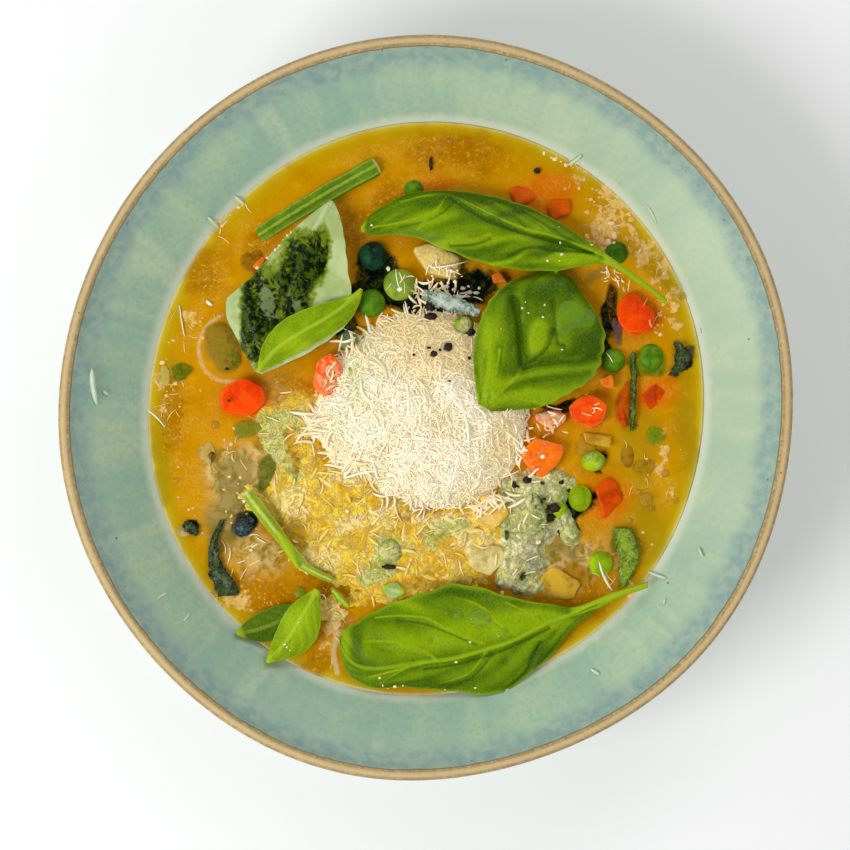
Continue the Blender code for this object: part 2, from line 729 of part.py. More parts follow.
def main():
    clear_scene()
    for collection in (parts, cutters, pockets):
        bpy.context.scene.collection.children.link(collection)
    shift = rim_middle()
    make_bowl(shift)
    make_vegetables()
    make_broth(shift)
    make_mound()
    make_leaves()
    make_sprig()


main()
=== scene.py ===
# Minestrone in its stoneware bowl: the looks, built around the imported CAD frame.
# Lengths are in millimetres until a mesh is made. Places marked "photo" are pixels of the
# 850 by 850 photograph, which spot() turns into millimetres on the broth.
import bpy
import math
import numpy as np
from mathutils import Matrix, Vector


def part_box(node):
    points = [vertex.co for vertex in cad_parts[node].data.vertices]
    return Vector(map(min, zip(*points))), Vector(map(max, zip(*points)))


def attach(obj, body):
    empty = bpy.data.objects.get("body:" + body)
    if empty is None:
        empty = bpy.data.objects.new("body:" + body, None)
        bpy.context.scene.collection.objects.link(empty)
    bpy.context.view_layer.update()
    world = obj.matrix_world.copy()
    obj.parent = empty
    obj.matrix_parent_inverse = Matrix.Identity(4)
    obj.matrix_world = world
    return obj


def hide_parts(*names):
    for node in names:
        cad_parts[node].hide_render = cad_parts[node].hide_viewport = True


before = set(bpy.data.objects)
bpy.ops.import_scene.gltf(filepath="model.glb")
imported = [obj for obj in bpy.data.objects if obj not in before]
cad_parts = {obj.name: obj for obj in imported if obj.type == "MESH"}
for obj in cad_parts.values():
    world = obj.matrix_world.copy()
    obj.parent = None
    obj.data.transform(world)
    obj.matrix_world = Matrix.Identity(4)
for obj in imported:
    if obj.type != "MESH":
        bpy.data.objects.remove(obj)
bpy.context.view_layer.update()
mm = 0.001
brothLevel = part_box("broth")[1].z / mm
photo = {"middle": (425.7, 407.3), "scale": 0.3055}


# shared helpers
def linear(colour):
    # a colour as seen, 0 to 255, to linear light: ((c + 0.055) / 1.055) to the power 2.4
    seen = np.array(colour) / 255
    light = np.where(seen <= 0.04045, seen / 12.92, ((seen + 0.055) / 1.055) ** 2.4)
    return (*light.tolist(), 1.0)


def spot(px, py):
    # x = (px - middle) * scale and y = (middle - py) * scale
    x = (np.asarray(px, float) - photo["middle"][0]) * photo["scale"]
    y = (photo["middle"][1] - np.asarray(py, float)) * photo["scale"]
    return x, y


def turned(u, v, degrees):
    # (u cos a - v sin a, u sin a + v cos a)
    c, s = math.cos(math.radians(degrees)), math.sin(math.radians(degrees))
    return u * c - v * s, u * s + v * c


def around(count):
    # angles evenly round a circle
    return 2 * math.pi * np.arange(count) / count


def crests(angle, waves):
    # sum of part * cos(count * (a - crest))
    return sum(part * np.cos(count * (angle - math.radians(crest))) for count, part, crest in waves)


def hashed(cells, seed):
    # a repeatable value from 0 to 1 for each whole-number cell
    h = cells[..., 0] * 374761393 + cells[..., 1] * 668265263 + cells[..., 2] * 1103515245
    h = (h + seed * 144665) & 0xFFFFFFFF
    h = ((h ^ (h >> 13)) * 1274126177) & 0xFFFFFFFF
    return ((h ^ (h >> 16)) & 0xFFFF) / 65535.0


def waver(points, size, seed, octaves=3):
    # value noise from -1 to 1: the eight cell corners blended by 3t2 - 2t3, then half as
    # large and half as strong for each octave
    total = np.zeros(points.shape[:-1])
    weight = 0.0
    for octave in range(octaves):
        place = points * (2 ** octave / size)
        cell = np.floor(place).astype(np.int64)
        t = place - cell
        t = t * t * (3 - 2 * t)
        value = np.zeros_like(total)
        for corner in np.ndindex(2, 2, 2):
            side = np.array(corner)
            share = np.prod(np.where(side == 1, t, 1 - t), axis=-1)
            value += share * hashed(cell + side, seed + 17 * octave)
        total += (2 * value - 1) / 2 ** octave
        weight += 1 / 2 ** octave
    return total / weight


def flat(x, y, z=0.0):
    return np.stack(np.broadcast_arrays(x, y, z), axis=-1).astype(float)


def curveThrough(values, share):
    # Catmull-Rom curve through evenly spaced values:
    # (2b + (c - a)t + (2a - 5b + 4c - d)t2 + (3b - a - 3c + d)t3) / 2
    values = np.asarray(values, float)
    last = len(values) - 1
    place = np.clip(share, 0, 1) * last
    first = np.minimum(place.astype(int), last - 1)
    t = place - first
    if values.ndim > 1:
        t = t[..., None]
    a, b = values[np.maximum(first - 1, 0)], values[first]
    c, d = values[first + 1], values[np.minimum(first + 2, last)]
    bend = (2 * a - 5 * b + 4 * c - d) * t ** 2 + (3 * b - a - 3 * c + d) * t ** 3
    return 0.5 * (2 * b + (c - a) * t + bend)


def distanceTo(line, x, y):
    # shortest distance from each point to a smooth line through the photo points
    path = curveThrough(np.stack(spot(*np.array(line, float).T), axis=-1), np.linspace(0, 1, 6 * len(line)))
    nearest = np.full(np.shape(x), 1e9)
    for start, end in zip(path[:-1], path[1:]):
        run = end - start
        t = np.clip(((x - start[0]) * run[0] + (y - start[1]) * run[1]) / (run @ run + 1e-9), 0, 1)
        nearest = np.minimum(nearest, np.hypot(x - start[0] - t * run[0], y - start[1] - t * run[1]))
    return nearest


def strokes(x, y, lines):
    # each line adds its height and its tint times exp(-(distance / width) squared)
    height, tint = np.zeros(np.shape(x)), np.zeros(np.shape(x))
    for rise, width, shade, points in lines:
        share = np.exp(-(distanceTo(points, x, y) / width) ** 2)
        height += rise * share
        tint += shade * share ** 2
    return height, tint


def patches(x, y, blobs, rough=2.0, seed=1):
    # sum of soft ellipses (photo x, y, half width, half height, turn), each exp(-r2), with
    # the places shifted by noise so that the outlines are uneven
    place = flat(x, y)
    wide = x + rough * waver(place, 9.0, seed)
    deep = y + rough * waver(place, 9.0, seed + 5)
    total = np.zeros(np.shape(x))
    for px, py, across, down, turn in blobs:
        cx, cy = spot(px, py)
        u, v = turned(wide - cx, deep - cy, -turn)
        total += np.exp(-((u / (across * photo["scale"])) ** 2 + (v / (down * photo["scale"])) ** 2))
    return np.clip(total, 0, 1)


def patchMarks(x, y, form, keys, rough, seed):
    # one mark for each named set of ellipses, each with its own noise
    return {key: patches(x, y, form[key], rough, seed + k) for k, key in enumerate(keys)}


def upper(level, floor, blend):
    # the higher of two heights, rounded where they meet: (a + b + sqrt((a - b)2 + blend)) / 2
    return 0.5 * (level + floor + np.sqrt((level - floor) ** 2 + blend))


# meshes
def gridFaces(rows, columns, closed=False):
    # quads of a grid of points, closed round its columns if asked
    r = np.arange(rows - 1)[:, None] * columns
    c = np.arange(columns if closed else columns - 1)[None, :]
    n = (c + 1) % columns
    return np.stack([r + c, r + n, r + columns + n, r + columns + c], -1).reshape(-1, 4)


def fanFaces(ring, centre):
    # triangles from a ring of points to one point
    return np.stack([ring, np.roll(ring, -1), np.full(len(ring), centre)], -1)


def roundFaces(rows, columns):
    # a grid closed round its columns, and two points that follow it and close its ends
    ring, count = np.arange(columns), rows * columns
    ends = [fanFaces(ring, count)[:, ::-1], fanFaces(count - columns + ring, count + 1)]
    return [gridFaces(rows, columns, closed=True), *ends]


def manyFaces(faceSets, size, count):
    # the faces of one small shape repeated for each copy
    shift = (np.arange(count) * size)[:, None, None]
    return [(faces[None] + shift).reshape(-1, faces.shape[1]) for faces in faceSets]


def outward(points, faceSets):
    # turns all faces round if the signed volume, a sixth of a . (b x c) summed, is negative
    volume = 0.0
    for faces in faceSets:
        a = points[faces[:, 0]]
        for k in range(1, faces.shape[1] - 1):
            volume += np.sum(a * np.cross(points[faces[:, k]], points[faces[:, k + 1]]))
    return faceSets if volume > 0 else [faces[:, ::-1] for faces in faceSets]


def addObject(name, data):
    made = bpy.data.objects.new(name, data)
    bpy.context.scene.collection.objects.link(made)
    return made


def makePiece(name, points, faceSets, material, nodes=(), marks=None):
    # one mesh object from whole arrays, with its attributes, its finish and its place in the frame
    points = points.reshape(-1, 3)
    faceSets = outward(points, faceSets)
    mesh = bpy.data.meshes.new(name)
    mesh.vertices.add(len(points))
    mesh.vertices.foreach_set("co", (points * mm).astype(np.float32).ravel())
    corners = np.concatenate([faces.ravel() for faces in faceSets])
    counts = np.concatenate([np.full(len(faces), faces.shape[1]) for faces in faceSets])
    mesh.loops.add(len(corners))
    mesh.loops.foreach_set("vertex_index", corners.astype(np.int32))
    mesh.polygons.add(len(counts))
    mesh.polygons.foreach_set("loop_start", (np.cumsum(counts) - counts).astype(np.int32))
    mesh.polygons.foreach_set("use_smooth", np.ones(len(counts), bool))
    mesh.update(calc_edges=True)
    for key, values in (marks or {}).items():
        values = np.asarray(values, np.float32)
        kind, field = ("FLOAT", "value") if values.size == len(points) else ("FLOAT_VECTOR", "vector")
        mesh.attributes.new(key, kind, "POINT").data.foreach_set(field, values.ravel())
    mesh.materials.append(material)
    piece = addObject(name, mesh)
    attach(piece, "root")
    if nodes:
        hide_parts(*nodes)
    return piece


def makeSheetPiece(name, top, bottom, material, nodes=(), marks=None):
    # a closed sheet: a ring round each row, first along its top, then back along its underside
    rows, columns = top.shape[:2]
    k = np.arange(columns - 1)
    cap = np.stack([k, k + 1, 2 * columns - 2 - k, 2 * columns - 1 - k], -1)
    faces = [gridFaces(rows, 2 * columns, closed=True), cap[:, ::-1], (rows - 1) * 2 * columns + cap]
    points = np.concatenate([top, bottom[:, ::-1]], axis=1)
    marks = {key: np.concatenate([value, value[:, ::-1]], axis=1) for key, value in marks.items()}
    makePiece(name, points, faces, material, nodes, marks)


def ballGrid(rows, columns):
    # unit directions: rows of latitude without the poles, which come last
    up, turn = np.meshgrid(math.pi * (np.arange(rows) + 1) / (rows + 1), around(columns), indexing="ij")
    ways = np.stack([np.sin(up) * np.cos(turn), np.sin(up) * np.sin(turn), np.cos(up)], -1)
    return np.concatenate([ways.reshape(-1, 3), [[0, 0, 1], [0, 0, -1]]])


def makeBalls(name, centres, sizes, grid, material, marks=None, reach=1.0):
    # many small balls: centre + direction * size * reach
    ways = ballGrid(*grid)
    points = np.asarray(centres)[:, None] + ways[None] * reach * np.asarray(sizes)[:, None]
    faces = manyFaces(roundFaces(*grid), len(ways), len(centres))
    makePiece(name, points, faces, material, marks=marks)


def tube(path, radius, section):
    # a ribbed section carried along a path: centre + radius (side cos a + up sin a)
    run = np.gradient(path, axis=0)
    run /= np.linalg.norm(run, axis=1)[:, None]
    side = np.cross(run, (0, 0, 1.0))
    side /= np.linalg.norm(side, axis=1)[:, None]
    up = np.cross(side, run)
    angle = around(len(section))
    reach = radius[:, None] * section[None]
    points = path[:, None] + side[:, None] * (reach * np.cos(angle))[..., None]
    points = (points + up[:, None] * (reach * np.sin(angle))[..., None]).reshape(-1, 3)
    return np.concatenate([points, path[:1], path[-1:]]), roundFaces(*reach.shape)


# materials
class Wire:
    # an output socket; Python's operators on it add Math nodes
    def __init__(self, paint, socket):
        self.paint = paint
        self.socket = socket

    def work(self, operation, first, second):
        return self.paint.node("ShaderNodeMath", {"operation": operation}, {0: first, 1: second})

    __add__ = __radd__ = lambda self, other: self.work("ADD", self, other)
    __mul__ = __rmul__ = lambda self, other: self.work("MULTIPLY", self, other)
    __sub__ = lambda self, other: self.work("SUBTRACT", self, other)
    __rsub__ = lambda self, other: self.work("SUBTRACT", other, self)
    __truediv__ = lambda self, other: self.work("DIVIDE", self, other)

    def rise(self, low, high):
        # smooth step from 0 at low to 1 at high
        smooth = {"interpolation_type": "SMOOTHSTEP"}
        return self.paint.node("ShaderNodeMapRange", smooth, {0: self, 1: low, 2: high})


class Paint:
    # a material's nodes; constants go straight onto the Principled shader's sockets, and
    # three numbers are a colour as seen
    def __init__(self, name, **constants):
        self.material = bpy.data.materials.new(name)
        self.material.use_nodes = True
        self.tree = self.material.node_tree
        self.shader = self.tree.nodes["Principled BSDF"]
        for key, value in constants.items():
            self.put(self.shader.inputs[key.replace("_", " ")], value)
        self.here = self.node("ShaderNodeTexCoord", {}, {}, "Object")

    def put(self, socket, value):
        if isinstance(value, Wire):
            self.tree.links.new(value.socket, socket)
        else:
            socket.default_value = linear(value) if isinstance(value, tuple) else value

    def node(self, kind, settings, sockets, output=0):
        made = self.tree.nodes.new(kind)
        for key, value in settings.items():
            if key == "stops":
                while len(made.color_ramp.elements) < len(value):
                    made.color_ramp.elements.new(1.0)
                for stop, (place, colour) in zip(made.color_ramp.elements, value):
                    stop.position, stop.color = place, linear(colour)
            else:
                setattr(made, key, value)
        for key, value in sockets.items():
            self.put(made.inputs[key], value)
        return Wire(self, made.outputs[output])

    def mark(self, name, output="Fac"):
        return self.node("ShaderNodeAttribute", {"attribute_name": name}, {}, output)

    def noise(self, size, seed=0.0, detail=3.0, rough=0.55, warp=0.0, at=None):
        sockets = {"Vector": at or self.here, "W": seed, "Scale": 1000 / size, "Detail": detail}
        sockets.update({"Roughness": rough, "Distortion": warp})
        return self.node("ShaderNodeTexNoise", {"noise_dimensions": "4D"}, sockets)

    def cells(self, size, seed=0.0, feature="F1"):
        sockets = {"Vector": self.here, "W": seed, "Scale": 1000 / size}
        return self.node("ShaderNodeTexVoronoi", {"voronoi_dimensions": "4D", "feature": feature}, sockets)

    def ridges(self, size, seed, warp):
        # thin winding lines: the noise where it is close to its middle value
        noise = self.noise(size, seed, 4.0, 0.64, warp)
        return noise.rise(0.455, 0.50) * (1 - noise.rise(0.50, 0.545))

    def mix(self, share, under, over):
        return self.node("ShaderNodeMix", {"data_type": "RGBA"}, {0: share, 6: under, 7: over}, 2)

    def coats(self, base, *layers):
        # each layer is its share and the colour that it lays over the last one
        for share, colour in layers:
            base = self.mix(share, base, colour)
        return base

    def ramp(self, value, stops):
        return self.node("ShaderNodeValToRGB", {"stops": stops}, {0: value})

    def bump(self, height, depth, **under):
        sockets = {"Height": height, "Distance": depth * mm, "Strength": 1.0, **under}
        return self.node("ShaderNodeBump", {}, sockets)

    def done(self, colour, **wires):
        for key, wire in {"Base Color": colour, **wires}.items():
            self.put(self.shader.inputs[key], wire)
        return self.material


def finishesOf(maker, colours):
    return {name: maker(name, *shades) for name, shades in colours.items()}


# camera, light and floor
view = {"place": (-0.0002, -0.0052, 0.650), "fieldAtRim": 0.2519, "rimDistance": 0.600, "sensor": 36.0}
studio = {
    "sky": 0.80,
    "overhead": (0.74, 0.93, 0.05),
    "lamps": [("key", (-0.58, -0.34, 0.66), 0.42, 5.4), ("rim", (0.30, 0.66, 0.52), 0.35, 1.3)],
    "floorReach": 1.5,
}


def setUpStudio():
    scene = bpy.context.scene
    cameraData = bpy.data.cameras.new("camera")
    cameraData.sensor_width = view["sensor"]
    cameraData.lens = view["sensor"] * view["rimDistance"] / view["fieldAtRim"]
    cameraData.clip_start = 0.01
    camera = addObject("camera", cameraData)
    camera.location = view["place"]
    bpy.context.scene.camera = camera
    scene.view_settings.view_transform = "Standard"
    # a white room whose ceiling is dark straight above, so that flat broth keeps its colour
    world = bpy.data.worlds.new("soft sky")
    world.use_nodes = True
    tree = world.node_tree
    way = tree.nodes.new("ShaderNodeTexCoord")
    parts = tree.nodes.new("ShaderNodeSeparateXYZ")
    dim = tree.nodes.new("ShaderNodeMapRange")
    low, high, dark = studio["overhead"]
    dim.interpolation_type = "SMOOTHSTEP"
    for socket, value in ((1, low), (2, high), (3, studio["sky"]), (4, studio["sky"] * dark)):
        dim.inputs[socket].default_value = value
    tree.links.new(way.outputs["Generated"], parts.inputs[0])
    tree.links.new(parts.outputs["Z"], dim.inputs[0])
    tree.links.new(dim.outputs[0], tree.nodes["Background"].inputs["Strength"])
    tree.nodes["Background"].inputs["Color"].default_value = (1.0, 1.0, 1.0, 1.0)
    scene.world = world
    for name, place, size, energy in studio["lamps"]:
        lampData = bpy.data.lights.new(name, "AREA")
        lampData.size = size
        lampData.energy = energy
        lamp = addObject(name, lampData)
        lamp.location = place
        lamp.rotation_euler = (-lamp.location).to_track_quat("-Z", "Y").to_euler()
    reach = studio["floorReach"]
    floorMesh = bpy.data.meshes.new("floor")
    corners = [(-reach, -reach, 0), (reach, -reach, 0), (reach, reach, 0), (-reach, reach, 0)]
    floorMesh.from_pydata(corners, [], [(0, 1, 2, 3)])
    paint = Paint("floor paper", Roughness=0.9)
    shade = paint.mix(paint.noise(60, detail=2.0), (246, 246, 246), (250, 250, 250))
    floorMesh.materials.append(paint.done(shade))
    floor = addObject("floor", floorMesh)


setUpStudio()
print("studio ready")

# the bowl: radius and height of its turned points; ovalSteps are height and share, waves count,
# share and angle of a crest, and bare the clay's reach inside and outside the rim and up the foot
bowl = {
    "inside": [
        (0, 8.6), (26, 9), (48, 11.2), (64, 16), (76, 22.6), (86, 31), (92.5, 36.6), (99.5, 42.6),
        (104.6, 47)],
    "rim": [(106.6, 49.2), (108.3, 50), (109.66, 49.2), (110, 47.62)],
    "outside": [(106.3, 43), (99.5, 36), (92, 28.6), (82, 19.6), (71, 11.6), (62.5, 7), (59.5, 5.2)],
    "foot": [(58.2, 0.6), (57.4, 0), (53.4, 0), (52.6, 0.7), (51.4, 3.6), (0, 4.0)], "poolRadius": 86.0,
    "ovalAngle": 70, "ovalSteps": [(0, 0), (8.6, 0), (31, 0.02), (50, 0.0078)],
    "waves": [(3, 0.0021, -14), (5, 0.0036, 35), (6, 0.0022, 19)], "axis": (0.202, -0.172),
    "shrink": 0.9991, "step": 1.05, "columns": 360, "size": (110, 50), "bare": (1.75, 2.1, 1.3),
}


def thrown(angle, height):
    # 1 + oval(z) cos 2(a - oval angle) + (z / 50)2 * the rim's waves, as the CAD bowl
    low, share = np.array(bowl["ovalSteps"]).T
    oval = np.interp(height, low, share) * np.cos(2 * (angle - math.radians(bowl["ovalAngle"])))
    return 1 + oval + crests(angle, bowl["waves"]) * np.minimum(height / 50, 1) ** 2


def onBowl(radius, angle, height):
    reach = radius * thrown(angle, height) * bowl["shrink"]
    return flat(bowl["axis"][0] + reach * np.cos(angle), bowl["axis"][1] + reach * np.sin(angle), height)


def fromAxis(x, y):
    # distance from the bowl's axis, and how far the bowl is out of round that way
    x, y = x - bowl["axis"][0], y - bowl["axis"][1]
    return np.hypot(x, y), thrown(np.arctan2(y, x), brothLevel)


def wallHeight(x, y):
    # height of the bowl's inside under a point
    away, share = fromAxis(x, y)
    radius, height = np.array(bowl["inside"]).T
    return np.interp(away / share, radius, height)


def shoreDistance(x, y):
    # how far a point is inside the edge of the broth
    away, share = fromAxis(x, y)
    return bowl["poolRadius"] * share - away


def glazeMaterial():
    paint = Paint("mint reactive glaze", Roughness=0.28, IOR=1.5, Specular_IOR_Level=0.45)
    along = paint.mark("arc")
    streak = paint.mark("streak", "Vector")
    mottle = paint.noise(26, 1.0, 4.0, 0.6, 0.4)
    drips = paint.noise(9, 2.0, 4.0, 0.6, at=streak)
    fine = paint.noise(1.6, 3.0, 3.0)
    ragged = along + (drips - 0.5) * 9.0 + (fine - 0.5) * 3.0
    ring = (1 - ragged.rise(6.0, 12.0)) * along.rise(0.0, 2.2)
    blue = paint.mix(paint.noise(3, 6.0, 4.0).rise(0.35, 0.65), (118, 150, 150), (150, 172, 158))
    specks = 1 - paint.cells(2.0, 1.0).rise(0.10, 0.26)
    crowd = (1 - along.rise(3.0, 9.0)) * 0.8 + paint.noise(24, 8.0).rise(0.60, 0.72) * 0.3
    pins = (1 - paint.cells(9.0, 3.0).rise(0.030, 0.055)) * paint.noise(20, 9.0).rise(0.42, 0.5)
    tide = paint.mark("tide") + (paint.noise(3.0, 5.5) - 0.5) * 1.4
    # one coat is painted light, lightening the glaze towards the right side of the bowl
    base = paint.coats(
        paint.mix((mottle * 0.5 + drips * 0.5).rise(0.36, 0.62), (140, 176, 154), (168, 193, 158)),
        (paint.noise(14, 4.0, 3.0, 0.6, 0.6, at=streak).rise(0.50, 0.68) * 0.65, (186, 202, 166)),
        (paint.noise(18, 5.0, 3.0, 0.6).rise(0.54, 0.70) * 0.6, (134, 172, 158)),
        (fine.rise(0.42, 0.66) * 0.30, (126, 156, 140)), (paint.mark("sunny") * 0.55, (188, 203, 168)),
        (ring * 0.80, blue), (specks * crowd * paint.noise(5, 7.0).rise(0.42, 0.60), (78, 92, 82)),
        (pins * 0.75, (64, 84, 66)), ((1 - tide.rise(0.7, 3.0)) * 0.75, (208, 214, 190)))
    # the glaze draws back from the rim and the foot and leaves bare clay
    bare = paint.mark("bare") + (paint.noise(3.0, 2.5) - 0.5) * 0.5
    clay = bare.rise(0.42, 0.62)
    edge = bare.rise(0.10, 0.38) * (1 - clay)
    grain = paint.noise(0.9, 4.0, 4.0)
    crest = 1 - (along + (grain - 0.5) * 0.8).rise(0.35, 1.1)
    pits = (1 - paint.cells(3.2, 6.0).rise(0.05, 0.12)) * clay
    sand = paint.coats(
        paint.mix(grain.rise(0.35, 0.7), (152, 126, 78), (190, 164, 112)),
        (paint.noise(12, 6.5, at=streak).rise(0.45, 0.7) * 0.5, (150, 124, 78)),
        (crest * 0.6, (214, 190, 142)), (pits, (84, 62, 40)))
    base = paint.coats(base, (edge * 0.9, (112, 88, 48)), (clay, sand))
    relief = paint.bump(drips * 0.5 + paint.noise(5, 2.2) * 0.5, 0.10)
    relief = paint.bump(grain * clay - pits * 0.6 - pins * 0.5, 0.12, Normal=relief)
    return paint.done(base, Roughness=0.26 + clay * 0.5 + fine * 0.06, Normal=relief)


def makeBowl():
    # the profile is a Catmull-Rom curve through the turned points, swept round the axis
    points = np.array(bowl["inside"] + bowl["rim"] + bowl["outside"] + bowl["foot"], float)
    lengths = np.linalg.norm(np.diff(points, axis=0), axis=1)
    steps = np.maximum(np.ceil(lengths / bowl["step"]), 4).astype(int)
    share = np.concatenate([k + np.arange(n) / n for k, n in enumerate(steps)] + [[len(lengths)]])
    profile = np.clip(curveThrough(points, share / len(lengths)), 0, bowl["size"])
    travel = np.append(0, np.cumsum(np.linalg.norm(np.diff(profile, axis=0), axis=1)))
    arc = (travel[np.argmax(profile[:, 1])] - travel)[1:-1, None]
    radius, height = profile[1:-1].T[..., None]
    angle = around(bowl["columns"])
    place = onBowl(radius, angle, height)
    # the clay is bare within a wavy line on both sides of the rim's crest, and under the foot
    wobble = waver(flat(np.cos(angle) * 60, np.sin(angle) * 60), 14.0, 3)
    inner, outer, foot = bowl["bare"]
    lean = np.where(arc > 0, arc - inner - 0.35 * wobble, -arc - outer - 0.5 * wobble)
    bareFoot = np.clip(0.5 + (foot - height) * 0.9, 0, 1) * (arc < 0)
    marks = {
        "arc": np.abs(arc),
        "bare": np.maximum(np.clip(0.5 - lean * 0.9, 0, 1), bareFoot),
        # painted light, strongest on the right side of the bowl
        "sunny": np.clip(np.cos(angle - 0.35), 0, 1) ** 1.4,
        "tide": np.where(arc > 0, np.abs(height - brothLevel), 9.0),
    }
    shape = place.shape[:2]
    marks = {key: np.append(np.broadcast_to(value, shape), [0.0 if key == "bare" else 40.0] * 2)
             for key, value in marks.items()}
    streak = flat(90 * np.cos(angle), 90 * np.sin(angle), arc * 0.16) * mm
    marks["streak"] = np.concatenate([streak.reshape(-1, 3), np.zeros((2, 3))])
    poles = [[*bowl["axis"], profile[0, 1]], [*bowl["axis"], profile[-1, 1]]]
    points = np.concatenate([place.reshape(-1, 3), poles])
    makePiece("glazed_bowl", points, roundFaces(*shape), glazeMaterial(), ["bowl"], marks)


makeBowl()
print("bowl thrown")

# the broth: shades from the shore inwards, then patches as photo x, y, half width, half height
# and turn; its threads are height, width, tint and photo points of pale threads and onion edges
broth = {
    "cells": 290, "meniscus": 0.35, "overlap": 0.35, "depth": 1.6, "taper": 0.985,
    "shades": [
        (0.0, (212, 200, 124)), (0.04, (200, 172, 34)), (0.13, (192, 154, 4)), (0.26, (194, 144, 0)),
        (0.55, (200, 140, 0)), (1.0, (204, 140, 0))],
    "tints": [
        ("brown", 0.65, (158, 98, 0)), ("olive", 0.5, (152, 134, 14)), ("orange", 0.8, (214, 104, 0))],
    "cloud": [
        (232, 504, 32, 44, 0), (262, 556, 26, 22, 0), (218, 476, 16, 16, 0), (280, 430, 26, 50, 0),
        (590, 560, 40, 24, 20), (350, 640, 20, 16, 0), (246, 470, 26, 28, 0), (540, 560, 30, 30, 0)],
    "brown": [
        (264, 598, 38, 28, -20), (455, 150, 60, 24, -4), (392, 205, 24, 26, 0), (262, 240, 22, 18, 30),
        (330, 600, 26, 40, 20), (440, 585, 80, 20, 0), (588, 590, 22, 26, 0), (545, 610, 40, 14, 0),
        (352, 226, 20, 24, 20), (298, 386, 30, 14, -10), (312, 668, 30, 14, 20), (202, 266, 24, 28, 0),
        (170, 410, 16, 50, 0)],
    "orange": [
        (545, 195, 36, 26, 30), (246, 398, 26, 24, 0), (655, 392, 26, 22, 0), (427, 188, 30, 9, 6),
        (640, 310, 22, 26, 0), (606, 500, 26, 28, 0)],
    "curd": [
        (618, 196, 34, 26, 40), (650, 258, 18, 36, 20), (676, 318, 9, 34, 8), (592, 164, 22, 12, 30),
        (166, 374, 8, 16, 0), (190, 322, 9, 12, 0), (162, 412, 7, 10, 0), (636, 590, 12, 18, 0),
        (236, 600, 24, 20, 0), (600, 232, 18, 14, 0), (668, 470, 8, 30, 10), (220, 226, 24, 8, -50),
        (330, 630, 10, 22, 0)],
    # the dark patches are painted shadow round the leaves, peas and carrots, mixed with dark greens in the
    # broth
    "dark": [
        (474, 284, 32, 22, -10), (610, 312, 8, 30, 0), (378, 266, 24, 26, 0), (346, 322, 16, 12, 0),
        (556, 408, 30, 7, 8), (470, 334, 8, 9, 0), (408, 300, 26, 12, 0), (555, 512, 20, 22, 30),
        (246, 524, 12, 12, 0), (604, 462, 8, 16, 0), (440, 300, 34, 16, -15), (188, 526, 9, 9, 0),
        (680, 360, 10, 16, 0), (632, 390, 5, 42, 2), (582, 502, 12, 12, 0), (608, 352, 8, 14, 0),
        (360, 296, 12, 12, 0)],
    "haze": [
        (225, 520, 26, 40, 0), (247, 508, 14, 10, 0), (232, 470, 18, 20, 0), (612, 326, 6, 14, 0),
        (560, 540, 18, 18, 0), (222, 344, 20, 30, 0), (598, 268, 14, 8, 30)],
    "olive": [
        (690, 440, 12, 90, 8), (160, 470, 10, 80, -4), (640, 440, 26, 40, 0), (176, 372, 12, 14, 0),
        (616, 252, 20, 16, 0), (250, 428, 18, 12, 0), (640, 530, 30, 50, 20)],
    "threads": [
        (0.2, 0.5, 0.8, [(178, 304), (181, 318), (184, 336)]),
        (0.2, 0.5, 0.7, [(148, 408), (158, 414), (166, 426)]),
        (0.3, 1.5, 0.62, [(222, 314), (206, 326), (199, 346), (203, 366), (218, 379), (242, 381)]),
        (0.2, 0.5, 0.6, [(216, 222), (226, 214), (238, 206)]),
        (0.1, 0.4, 0.3, [(640, 440), (662, 446), (668, 470)]),
        (0.2, 0.5, 0.6, [(586, 150), (600, 160), (616, 164)]),
        (0.2, 0.4, 0.5, [(330, 610), (336, 640), (330, 670)]),
        (0.2, 0.5, 0.5, [(174, 456), (186, 470), (182, 492)]),
        (0.3, 1.8, 0.7, [(331, 604), (337, 630), (334, 652), (338, 672)]),
        (0.2, 0.4, 0.5, [(606, 574), (616, 580), (622, 592)])],
}


